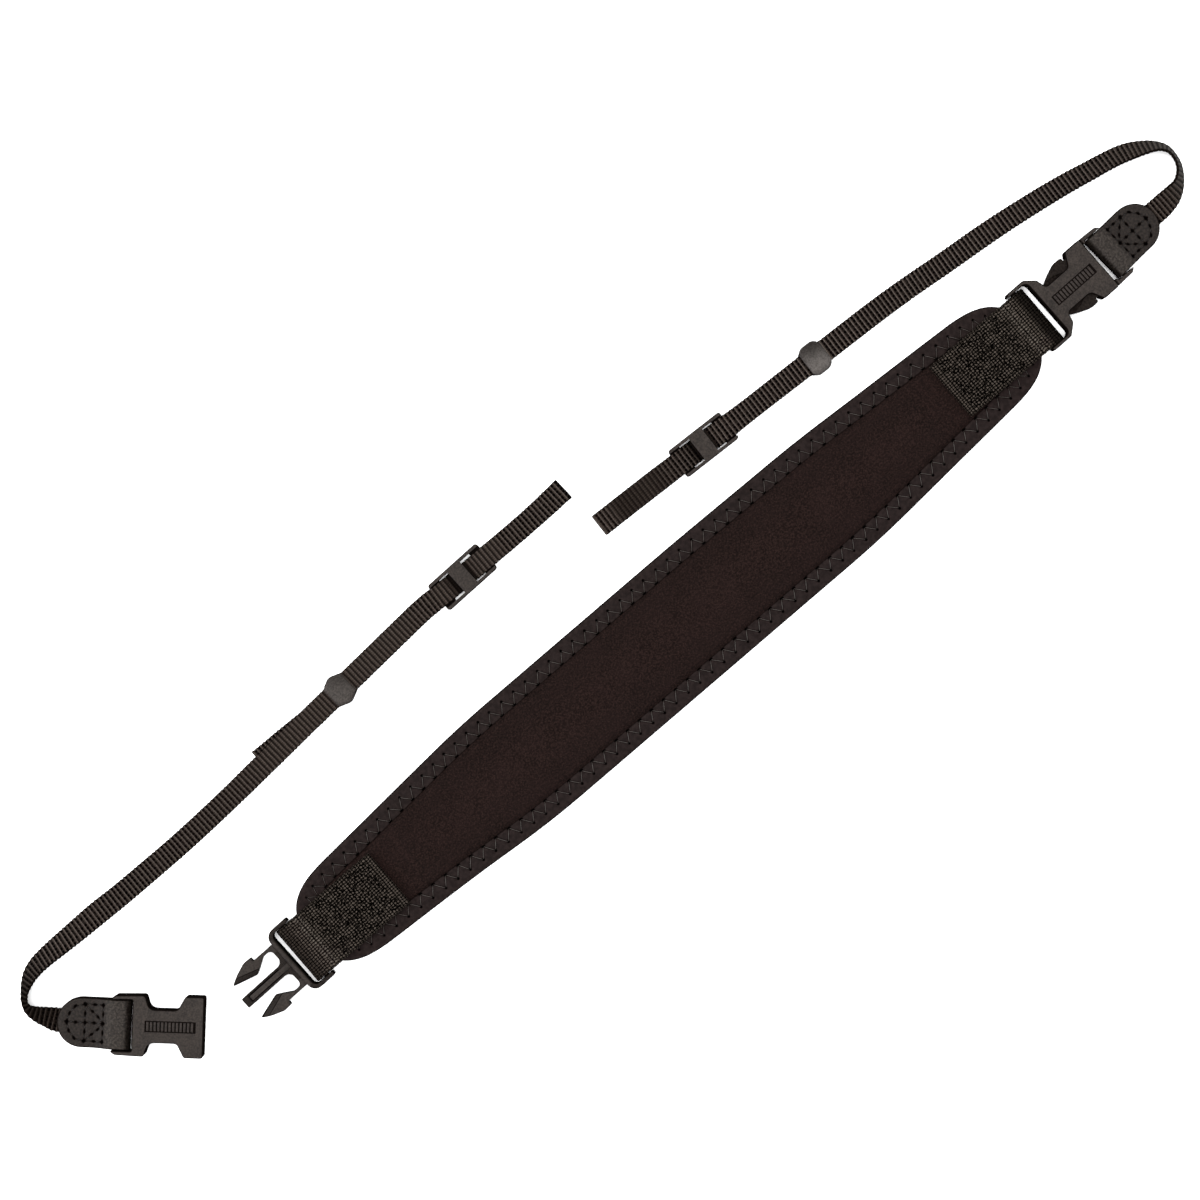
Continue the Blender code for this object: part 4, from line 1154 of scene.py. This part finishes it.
def make_pad(finish):
    """The foam pad with its knit face, crowned between the seams that hold it down."""
    end = CORNER_FROM + CORNER_LENGTH - 1.5
    pad = flat_sheet("neck_pad", 2 * end, 2.0, 1.15, 60)
    thicken(pad, 1.0)
    reach_at = {}
    for k in range(int(EDGE.length * 2)):
        point = EDGE.spot(k / 2)
        reach_at.setdefault((round(point.x), point.y > 0), k / 2)

    def shaped(x, y, z):
        x -= end
        side = 1 if y > 0 else -1
        share = abs(y)
        before_corner = min(abs(x), ROWS_EVEN_TO)
        half = pad_half_width(before_corner) - drawn_in(x, side)
        if share > 0.5:
            across = half - pad_inset(share)
        else:
            across = (half - EVEN_INSET) * share / 0.5
        inset = half - across
        if abs(x) > before_corner:
            whole = pad_half_width(abs(x)) * corner_share(x) - drawn_in(x, side)
            across *= (whole - 1.6) / (half - PAD_RIM)
        if z < 0.5:
            return x, side * across, 1.15 * (1 - eased(inset, 8.4, 9.6))
        height = panel_height(inset, x)
        reach = reach_at.get((round(x), side > 0))
        if reach is not None and 5.0 < inset < 14.0 and abs(x) < ROWS_EVEN_TO:
            here = reach - side * (x - round(x))
            for along, its_inset in holes_near(here, 4.0):
                if its_inset > 5:
                    away = along * along / 2.2 + (inset - its_inset - 0.6) ** 2 / 3.5
                    height -= 0.5 * math.exp(-away)
        return x, side * across, height

    move_points(pad, shaped)
    pad.data.materials.append(finish)
    smooth(pad, 60)
    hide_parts("pad")
    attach(pad, "strap")


def make_zigzag(finish):
    """The seam's thread, from hole to hole, ending just inside each."""
    stitches = list(pairwise(HOLES))
    stitches.append((HOLES[-1], (HOLES[0][0] + EDGE.length, HOLES[0][1])))
    shown = []
    for (a0, i0), (a1, i1) in stitches:
        start, end = Vector((a0, i0)), Vector((a1, i1))
        shown.append((tuple(start.lerp(end, 0.06)), tuple(start.lerp(end, 0.94))))
    thread = sew("zigzag_thread", shown, on_band, 0.14, finish, rise=0.5, sink=0.52)


# ---------------------------------------------------------------- webbing tabs


def tab_relief():
    """Gives the depth, from 0 to 1, of the irregular pits where a tab is sewn down."""
    chance = random.Random(11)
    pits = {}
    for i in range(36):
        for j in range(-10, 11):
            if chance.random() < 0.42:
                pits[(i, j)] = (
                    i * NUB_LENGTH + chance.uniform(-0.2, 0.2),
                    j * WARP_PITCH + chance.uniform(-0.25, 0.25),
                    chance.uniform(0.4, 1.0),
                )

    def dent(x, y):
        deep = 0.0
        i0, j0 = round(x / NUB_LENGTH), round(y / WARP_PITCH)
        for i in (i0 - 1, i0, i0 + 1):
            for j in (j0 - 1, j0, j0 + 1):
                pit = pits.get((i, j))
                if pit:
                    away = ((x - pit[0]) ** 2 + (y - pit[1]) ** 2) / 0.17
                    deep = max(deep, pit[2] * math.exp(-away))
        return deep

    return dent


def make_tab(name, node, bar, turn, shade, finish):
    """One-inch webbing folded round a buckle's bar, sewn down over its whole far part. shade is how
    dark it gets where it goes round the bar."""
    way = wrapped_way(*bar, turn, tab_path(), TAB_HALF)
    strip = flat_strip(name, way.length, TAB_HALF, TAB_THICK, 0.32, 76, 0.4)
    keep_flat_place(strip)
    dent = tab_relief()
    sewn = TAB_LENGTH - 8.0
    turn_at = way.length / 2

    def sewn_share(x):
        return 1 - eased(x, sewn - 3, sewn + 3)

    # Painted shade: a dark line where the hem's fold ends, along both edges where the tab meets the
    # pad, at its cut end, and where it turns round the bar
    def shadowed(x, y, z):
        if z < 0:
            return 0.0
        hem = math.exp(-(((x - 2.3) / 0.35) ** 2))
        side = 0.85 * eased(abs(y), TAB_HALF - 0.6, TAB_HALF - 0.2)
        end = 0.85 * (1 - eased(x, 0.25, 0.8))
        return max(0.9 * hem, side, end, shade * (1 - eased(abs(x - turn_at), 4.8, 8.0)))

    paint(strip, "sewn", lambda x, y, z: sewn_share(x) * (abs(y) < 11.4) * (x > 2.6) * (z > 0))
    paint(strip, "dark", shadowed)

    def woven(x, y, z):
        side = 1 if z > 0 else -1
        rise = 0.14 * math.cos(2 * math.pi * x / NUB_LENGTH) - 0.1
        if side > 0:
            rise -= 0.25 * dent(x, y) * sewn_share(x) * (abs(y) < 11.6)
        hem = 0.15 * math.exp(-(((x - 1.2) / 0.8) ** 4)) if side > 0 else 0.0
        edge = 1 + 0.012 * math.sin(math.pi * x / NUB_LENGTH)
        return x, y * edge, z + side * rise + hem

    move_points(strip, woven)
    lay(strip, way, TAB_HALF)
    strip.data.materials.append(finish)
    smooth(strip, 70)
    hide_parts(node)
    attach(strip, "strap")


# ---------------------------------------------------------------- leather tabs

# The seam's holes from the middle of the round end: (towards the bar, across)
STRAIGHT_SEAM = ((7.3, -7.0), (7.3, -3.6), (7.3, 0.0), (7.3, 3.6), (7.3, 7.0))
SIDE_SEAM = ((7.1, 7.05), (3.6, 7.05), (-0.2, 7.05), (-4.0, 6.1), (-6.1, 3.3), (-7.1, 0.2))
CROSS_SEAM = ((-0.2, 7.05), (-0.1, 3.5), (0.0, 0.0), (-0.1, -3.5), (-0.2, -7.05))
LONG_SEAM = ((-7.1, 0.2), (-3.6, 0.0), (0.0, 0.0), (3.5, 0.0), (7.3, 0.0))
SLANT_SEAM = ((-0.2, 7.05), (2.7, 4.4), (5.1, 2.4), (7.3, 0.0))
OTHER_SIDE = [tuple((a, -b) for a, b in seam) for seam in (SIDE_SEAM, SLANT_SEAM)]
SEAM_LINES = [STRAIGHT_SEAM, SIDE_SEAM, CROSS_SEAM, LONG_SEAM, SLANT_SEAM, *OTHER_SIDE]
SEAM_MIDDLE = 10.8  # from the leather's end to the middle of the seam
SEAM_END = 21.0  # and to where it is free of the seam


def make_leather(name, node, place, leather, thread):
    """Leather folded round a bar, with a round end, stitched through the thin strap."""
    x0, y0, turn, length, reach = place
    way = wrapped_way(x0, y0, turn, leather_path(length, reach), LEATHER_HALF)
    turn_at = way.length / 2
    holes, stitches = [], []
    for line in SEAM_LINES:
        for (a0, b0), (a1, b1) in zip(line, line[1:] + line[-2:-1]):
            holes.append((SEAM_MIDDLE + a0, b0, Vector((a1 - a0, b1 - b0)).normalized()))
        for (a0, b0), (a1, b1) in pairwise(line):
            start = Vector((SEAM_MIDDLE + a0, b0))
            stitches.append((start, Vector((SEAM_MIDDLE + a1, b1)) - start))

    def rounded_end(x, y, z):
        x, y, z = spread(x, y, z, LEATHER_HALF, 1.0)
        far = LEATHER_HALF + 4.0
        drop = LEATHER_HALF - math.sqrt(max(LEATHER_HALF**2 - y * y, 0.0))
        if x < far:
            return x + drop * (1 - x / far), y, z
        if x > way.length - far:
            return x - drop * (1 - (way.length - x) / far), y, z
        return x, y, z

    strip = flat_strip(name, way.length, LEATHER_HALF, LEATHER_THICK, 0.27, 72, 0.35, rounded_end)
    keep_flat_place(strip)

    def prick(x, y):
        """How deep the needle's holes are at a point, from 0 to 1."""
        deep = 0.0
        for a, b, along in holes:
            away = Vector((x - a, y - b))
            if away.length_squared < 4:
                far = away.dot(along)
                aside = away.length_squared - far * far
                deep = max(deep, math.exp(-far * far / 0.95 - aside / 0.3))
        return deep

    def seam_reach(x, y):
        """The square of how far a point lies from the nearest stitch."""
        nearest = 9.0
        for start, span in stitches:
            from_start = Vector((x, y)) - start
            t = clamped(from_start.dot(span) / span.length_squared)
            nearest = min(nearest, (from_start - span * t).length_squared)
        return nearest

    def from_rim(x, y):
        return LEATHER_HALF - math.hypot(max(LEATHER_HALF - x, 0.0), y)

    # Painted shade along the leather's rounded rim, where it turns round the bar, in the needle
    # holes and along the stitches
    def seam_and_fold_shade(x, y, z):
        edge = 0.75 * (1 - eased(from_rim(x, y), 0.15, 0.5))
        edge = max(edge, 0.7 * (1 - eased(abs(x - turn_at), 1.6, 3.3)))
        if z < 0 or x > SEAM_END:
            return edge
        return max(edge, eased(prick(x, y), 0.25, 0.6), 0.6 * math.exp(-seam_reach(x, y) / 0.1))

    # Paler from near the seam's end up to where the leather turns round the bar
    def paler_share(x, y, z):
        return eased(x, 18.0, 20.5) * (1 - eased(x, turn_at - 2.2, turn_at + 0.6))

    def pressed(x, y, z):
        if x > SEAM_END or z < 0:
            return x, y, z
        deep = max(0.45 * prick(x, y), 0.16 * math.exp(-seam_reach(x, y) / 0.3))
        return x, y, z - deep + 0.12 * eased(from_rim(x, y), 0.2, 2.2) - 0.12

    paint(strip, "paler_near_bar", paler_share)
    paint(strip, "dark", seam_and_fold_shade)
    move_points(strip, pressed)
    lay(strip, way, LEATHER_HALF)
    strip.data.materials.append(leather)
    smooth(strip, 50)
    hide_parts(node)
    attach(strip, "strap")

    def above(x, y, z):
        return way.place(x, y, LEATHER_THICK / 2 - 0.12 + z, LEATHER_HALF)

    shown = [(tuple(start + span * 0.1), tuple(start + span * 0.9)) for start, span in stitches]
    sewn = sew(name + "_thread", shown, above, 0.19, thread, rise=0.34, sink=0.5)


# ---------------------------------------------------------------- thin straps


def make_thin_strap(name, node, way, upper_count, openness, shades, finish):
    """Thin webbing with its cross ribs. openness and shades are tables by x, as above."""
    fold_at = way.reach[upper_count - 1]

    def gathered(x, y, z):
        return spread(x, y, z, STRAP_HALF, 0.5)

    step = RIB_PITCH / 5
    strip = flat_strip(name, way.length, STRAP_HALF, STRAP_THICK, step, 12, 0.32, gathered)
    keep_flat_place(strip)
    known = {}

    def opened(x):
        """The openness at a distance along the strap, to the nearest millimetre."""
        if round(x) not in known:
            known[round(x)] = read_off(openness, way.at(min(x, fold_at)).at.x, 0.6)
        return known[round(x)]

    def shaded(x, y, z):
        if x > fold_at:
            return 0.0
        spot, most = way.at(x).at.x, 0.0
        for deepest, end, amount in shades:
            if min(deepest, end) <= spot <= max(deepest, end):
                most = max(most, amount * (1 - eased(abs(spot - deepest), 0.0, abs(end - deepest))))
        return most

    paint(strip, "open", lambda x, y, z: opened(x))
    paint(strip, "dark", shaded)

    def woven(x, y, z):
        wave = math.cos(2 * math.pi * x / RIB_PITCH)
        side = 1 if z > 0 else -1
        wide = opened(x)
        rise = (0.05 + 0.09 * wide) * wave
        edge = 1 + (0.012 + 0.02 * wide + 0.012 * math.sin(0.83 * x)) * wave
        return x, y * edge, z + side * rise * (1 - 0.5 * abs(y / STRAP_HALF) ** 4)

    move_points(strip, woven)
    lay(strip, way, STRAP_HALF)
    strip.data.materials.append(finish)
    smooth(strip, 70)
    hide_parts(node)
    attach(strip, "strap")


# ---------------------------------------------------------------- moulded pieces

# Where the moulded pieces lie: x, y and turn
PLUG_LEFT_AT = (-192.55, -1.5, 1.2)
SOCKET_LEFT_AT = (-233.3, 1.4, -42.6)
BUCKLE_RIGHT_AT = (217.1, 0.8, 0.8)
SLIDER_LEFT_AT = (-46.0, 68.08, 1.3)
SLIDER_RIGHT_AT = (57.25, 46.47, -2.65)
KEEPER_LEFT_AT = (-109.9, 65.8, 3.62)
KEEPER_RIGHT_AT = (111.6, 43.77, -2.75)


def add_block(low, high, round_by):
    """A block between two corners, with rounded edges."""
    middle = [(a + b) / 2 * MM for a, b in zip(low, high)]
    bpy.ops.mesh.primitive_cube_add(size=1, location=middle)
    block = bpy.context.object
    block.scale = [(b - a) * MM for a, b in zip(low, high)]
    bpy.ops.object.transform_apply(location=True, rotation=True, scale=True)
    if round_by:
        round_edges(block, round_by, 2)
    return block


def rounded_corners(corners, steps):
    """An outline's points, with each corner (x, y, radius) turned into an arc."""
    points = []
    count = len(corners)
    for i, (x, y, radius) in enumerate(corners):
        corner = Vector((x, y))
        if radius <= 0:
            points.append(corner)
            continue
        back = (Vector(corners[i - 1][:2]) - corner).normalized()
        ahead = (Vector(corners[(i + 1) % count][:2]) - corner).normalized()
        half = back.angle(ahead) / 2
        reach = radius / math.tan(half)
        centre = corner + (back + ahead).normalized() * (radius / math.sin(half))
        start, end = corner + back * reach - centre, corner + ahead * reach - centre
        turn = start.angle_signed(end)
        for k in range(steps + 1):
            angle = -turn * k / steps
            cos, sin = math.cos(angle), math.sin(angle)
            turned = Vector((start.x * cos - start.y * sin, start.x * sin + start.y * cos))
            points.append(centre + turned)
    return points


def mirrored(corners):
    """A whole outline from its half with y above 0."""
    return list(corners) + [(x, -y, radius) for x, y, radius in reversed(corners)]


def add_plate(name, corners, low, high, round_by):
    """An outline given its thickness, from the height low to the height high."""
    points = rounded_corners(corners, 5)
    spots = [(p.x * MM, p.y * MM, low * MM) for p in points]
    plate = new_piece(name, spots, [range(len(points))])
    thicken(plate, high - low)
    if round_by:
        round_edges(plate, round_by, 3, 50)
    return plate


def joined(name, parts, at, body="strap", node=None, finish=None):
    """Joins parts into one piece, turned and moved to its place on the strap."""
    bpy.ops.object.select_all(action="DESELECT")
    for part in parts:
        part.select_set(True)
    bpy.context.view_layer.objects.active = parts[0]
    if len(parts) > 1:
        bpy.ops.object.join()
    piece = bpy.context.object
    piece.name = piece.data.name = name
    x, y, turn = at
    piece.rotation_euler = (0, 0, math.radians(turn))
    piece.location = (x * MM, y * MM, 0)
    bpy.ops.object.transform_apply(location=True, rotation=True, scale=True)
    if finish:
        piece.data.materials.append(finish)
    smooth(piece, 35)
    if node:
        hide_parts(node)
    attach(piece, body)


# A prong's outline: (x, y, radius of the corner)
PRONG = [
    (0.2, 10.2, 0.0),
    (-9.8, 10.2, 0.0),
    (-9.8, 11.85, 0.25),
    (-13.2, 12.05, 4.0),
    (-18.1, 10.2, 6.0),
    (-22.4, 8.0, 0.4),
    (-12.0, 5.1, 1.2),
    (-5.9, 8.8, 2.2),
    (-1.8, 8.8, 1.7),
    (-1.8, 6.8, 0.0),
    (0.2, 6.8, 0.0),
]
PLUG_FRAME_EDGE = [(0.0, 14.4, 3.6), (10.5, 14.4, 0.6), (10.5, 12.75, 0.0), (2.05, 12.75, 1.8)]
PLUG_RIDGE_EDGE = [(0.1, 11.6, 0.8), (1.75, 11.6, 0.6)]
SHOULDER_EDGE = [
    (-4.6, 2.15, 0.7),
    (-3.0, 2.5, 2.0),
    (-2.0, 3.9, 2.0),
    (-1.7, 5.6, 0.0),
    (0.2, 5.6, 0.0),
]
# The rails along the guide: (lowest y, highest y, far end, half the height)
GUIDE_RAILS = ((1.5, 2.2, -22.0, 1.55), (-2.2, -1.4, -22.0, 1.55), (-1.0, 1.0, -19.7, 2.1))


def add_prong(side):
    """One barbed prong, with the facet cut along its inner edge on both faces."""
    corners = [(x, side * y, radius) for x, y, radius in PRONG]
    low, high = BUCKLE_Z - 2.05, BUCKLE_Z + 2.05
    prong = add_plate("prong", corners, low, high, round_by=0.0)
    crease = Vector((9.2, -3.0 * side, 0)).normalized()
    inwards = Vector((crease.y * side, -crease.x * side, 0))
    for level, up in ((high, 1), (low, -1)):
        facet = (inwards * 0.5 + Vector((0, 0, up * 0.87))).normalized()
        spot = Vector((-15.5, 8.5 * side, level)) * MM
        with editing(prong):
            bpy.ops.mesh.bisect(plane_co=spot, plane_no=facet, use_fill=True, clear_outer=True)
    round_edges(prong, 0.22, 2, 25)
    return prong


def make_plug(frame_finish, finish):
    """The open one-inch plug: its frame and ridge, two prongs, and the grooved guide between."""
    z = BUCKLE_Z
    parts = [add_plate("frame", mirrored(PLUG_FRAME_EDGE), z - 3.2, z + 3.2, 0.55)]
    parts.append(add_plate("ridge", mirrored(PLUG_RIDGE_EDGE), z - 3.7, z + 3.7, 0.4))
    bpy.ops.mesh.primitive_cylinder_add(
        vertices=32,
        radius=1.1 * MM,
        depth=27 * MM,
        location=(7.55 * MM, 0, z * MM),
        rotation=(math.pi / 2, 0, 0),
    )
    parts.append(bpy.context.object)
    for part in parts:
        part.data.materials.append(frame_finish)
    inner = [add_prong(1), add_prong(-1)]
    inner.append(add_block((-1.9, -10.15, z - 1.75), (1.2, 10.15, z + 1.75), 0.3))
    inner.append(add_plate("shoulder", mirrored(SHOULDER_EDGE), z - 1.5, z + 1.5, 0.2))
    inner.append(add_block((-22.0, -2.15, z - 0.75), (-1.5, 2.15, z + 0.75), 0.1))
    for low_y, high_y, start, top in GUIDE_RAILS:
        inner.append(add_block((start, low_y, z - top), (0.3, high_y, z + top), 0.16))
    inner.append(add_block((-22.9, -2.2, z - 1.6), (-20.25, 2.2, z + 1.6), 0.25))
    for part in inner:
        part.data.materials.append(finish)
    joined("plug_with_guide", parts + inner, PLUG_LEFT_AT, node="plug_left")


def make_panel_ribs(name, at, finish):
    """Plain ribs across the recessed panel on a socket."""
    rib = add_block((-21.85, -1.75, 7.05), (-20.95, 1.75, 7.38), 0.1)
    row = rib.modifiers.new("row", "ARRAY")
    row.use_relative_offset = False
    row.use_constant_offset = True
    row.constant_offset_displace = (1.42 * MM, 0, 0)
    row.count = 13
    finish_modifier(rib, "row")
    joined(name, [rib], at, finish=finish)


def make_slider_shade_blocks(name, at, finish):
    """Low blocks inside a slider's end bars, under the strap: dark plastic put in for the shade
    that fills the gaps beside the strap.
    """
    parts = [
        add_block((-11.4, -5.2, 0.08), (-7.7, 5.2, 0.6), 0.12),
        add_block((7.7, -5.2, 0.08), (11.4, 5.2, 0.6), 0.12),
    ]
    joined(name, parts, at, finish=finish)


# A keeper's dome: (share of the outline, height)
DOME = (
    (0.96, 0.0),
    (1.0, 0.3),
    (1.0, 3.0),
    (0.985, 3.55),
    (0.955, 4.0),
    (0.91, 4.35),
    (0.84, 4.62),
    (0.72, 4.84),
    (0.56, 4.98),
    (0.38, 5.06),
    (0.20, 5.1),
)
# The keepers' outlines: (x, y, radius of the corner)
SIX_SIDED = [(4.9, 4.5, 0.5), (0.0, 6.6, 3.5), (-4.9, 4.5, 0.5)]
ROUNDER = [(4.85, 4.3, 0.6), (2.5, 6.35, 3.0), (-2.5, 6.35, 3.0), (-4.85, 4.6, 0.6)]


def make_keeper(name, node, body, at, corners, away, finish):
    """A domed ring, flat at the two ends where the strap runs through it. away says which way its
    side turned from the light faces, along and across, and how much painted shade darkens it there;
    painted shade also darkens its low walls."""
    outline = rounded_corners(mirrored(corners), 8)
    if (outline[1] - outline[0]).cross(outline[2] - outline[1]) < 0:
        outline.reverse()
    steps = len(outline)
    points, faces = [], []
    for share, high in DOME:
        points += [(p.x * share * MM, p.y * share * MM, high * MM) for p in outline]
    for level in range(len(DOME) - 1):
        for k in range(steps):
            a, b = level * steps + k, level * steps + (k + 1) % steps
            faces.append((a, b, b + steps, a + steps))
    faces.append(tuple(reversed(range(steps))))
    faces.append(tuple((len(DOME) - 1) * steps + k for k in range(steps)))
    ring = new_piece(name, points, faces)
    passage = add_block((-9, -4.95, 0.9), (9, 4.95, 4.0), 0)
    cut = ring.modifiers.new("passage", "BOOLEAN")
    cut.object = passage
    cut.solver = "EXACT"
    finish_modifier(ring, "passage")
    bpy.data.objects.remove(passage)
    along, across, amount = away

    # Painted shade on the side of the dome turned from the light, and on the ring's low walls
    def turned_away(x, y, z):
        lit = amount * eased(x * along + y * across, -3.5, 5.5)
        return max(lit * eased(z, 3.2, 4.3), 0.75 * (1 - eased(z, 3.0, 3.9)))

    paint(ring, "dark", turned_away)
    joined(name, [ring], at, body, node, finish)


# ---------------------------------------------------------------- making the strap

add_camera()
set_stage()

WEBBING = strap_finish()
TAB_WEBBING = tab_finish()
LEATHER = leather_finish()
ZIGZAG_THREAD = thread_finish("zigzag_thread_finish", colour(0.030, 0.024, 0.0215))
LEATHER_THREAD = thread_finish("leather_thread_finish", colour(0.0030, 0.0021, 0.0018))
TONES = colour(0.0046, 0.0031, 0.0024), colour(0.0195, 0.0150, 0.0125)
SOCKET = plastic_finish("socket_plastic", *TONES, 0.5, [(7.37, 7.18, 0.8)])
SLIDER = plastic_finish("slider_plastic", *TONES, 0.5, [(4.37, 4.15, 0.7)])
PLUG_FRAME_DEPTHS = [(7.36, 7.2, 0.4), (6.84, 6.6, 0.85)]
PLUG_FRAME = plastic_finish("plug_frame_plastic", *TONES, 0.5, PLUG_FRAME_DEPTHS)
PLUG = plastic_finish("plug_plastic", *TONES, 0.5, [(5.74, 5.62, 0.4), (4.8, 4.5, 0.95)], 5.65)
HELD_PLUG_DEPTHS = [(6.95, 6.8, 0.5), (5.72, 5.6, 0.6)]
HELD_PLUG = plastic_finish("held_plug_plastic", *TONES, 0.5, HELD_PLUG_DEPTHS, 5.5)
RUBBER_LEFT = plastic_finish(
    "keeper_moulded_left",
    colour(0.0125, 0.0103, 0.0090),
    colour(0.0350, 0.0296, 0.0265),
    0.55,
    [(4.9, 3.9, 0.45)],
    shaded=True,
)
# A paler copy of the same rubber for the right keeper: painted light, for the light it catches more
# of than the left one
RUBBER_RIGHT_LIT = plastic_finish(
    "keeper_moulded_right_lit",
    colour(0.0265, 0.0232, 0.0208),
    colour(0.0610, 0.0540, 0.0502),
    0.5,
    [(4.9, 3.9, 0.35)],
    shaded=True,
)

make_pad(knit_finish())
make_binding(binding_finish())
make_zigzag(ZIGZAG_THREAD)
make_tab("sewn_tab_left", "tab_left", TAB_LEFT_BAR, 0, 0.55, TAB_WEBBING)
make_tab("sewn_tab_right", "tab_right", TAB_RIGHT_BAR, 180, 0.85, TAB_WEBBING)
make_leather("leather_end_left", "leather_left", LEATHER_LEFT, LEATHER, LEATHER_THREAD)
make_leather("leather_end_right", "leather_right", LEATHER_RIGHT, LEATHER, LEATHER_THREAD)

left_way = strap_way(LEFT_ROUTE, -1, LEFT_TAIL_END, LEFT_TAIL_OFFSETS)
right_way = strap_way(RIGHT_ROUTE, 1, RIGHT_TAIL_END)
make_thin_strap("thin_strap_left", "strap_left", *left_way, LEFT_OPEN, LEFT_SHADES, WEBBING)
make_thin_strap("thin_strap_right", "strap_right", *right_way, RIGHT_OPEN, RIGHT_SHADES, WEBBING)

make_plug(PLUG_FRAME, PLUG)
make_panel_ribs("panel_ribs_left", SOCKET_LEFT_AT, SOCKET)
make_panel_ribs("panel_ribs_right", BUCKLE_RIGHT_AT, SOCKET)
make_slider_shade_blocks("slider_shade_blocks_left", SLIDER_LEFT_AT, SLIDER)
make_slider_shade_blocks("slider_shade_blocks_right", SLIDER_RIGHT_AT, SLIDER)
make_keeper(
    "domed_keeper_left",
    "keeper_left",
    "left_ring",
    KEEPER_LEFT_AT,
    SIX_SIDED,
    (0.65, 0.75, 0.34),
    RUBBER_LEFT,
)
make_keeper(
    "domed_keeper_right",
    "keeper_right",
    "right_ring",
    KEEPER_RIGHT_AT,
    ROUNDER,
    (0.25, 0.95, 0.66),
    RUBBER_RIGHT_LIT,
)

# The moulded solids that stay as they are, with softened edges
for name, plastic in (
    ("socket_left", SOCKET),
    ("socket_right", SOCKET),
    ("plug_right", HELD_PLUG),
    ("slider_left", SLIDER),
    ("slider_right", SLIDER),
):
    moulded = NODES[name]
    moulded.data.materials.clear()
    moulded.data.materials.append(plastic)
    softened = bevel(moulded, "softened", 0.3, 3, 35)
    softened.use_clamp_overlap = False
    softened.harden_normals = True
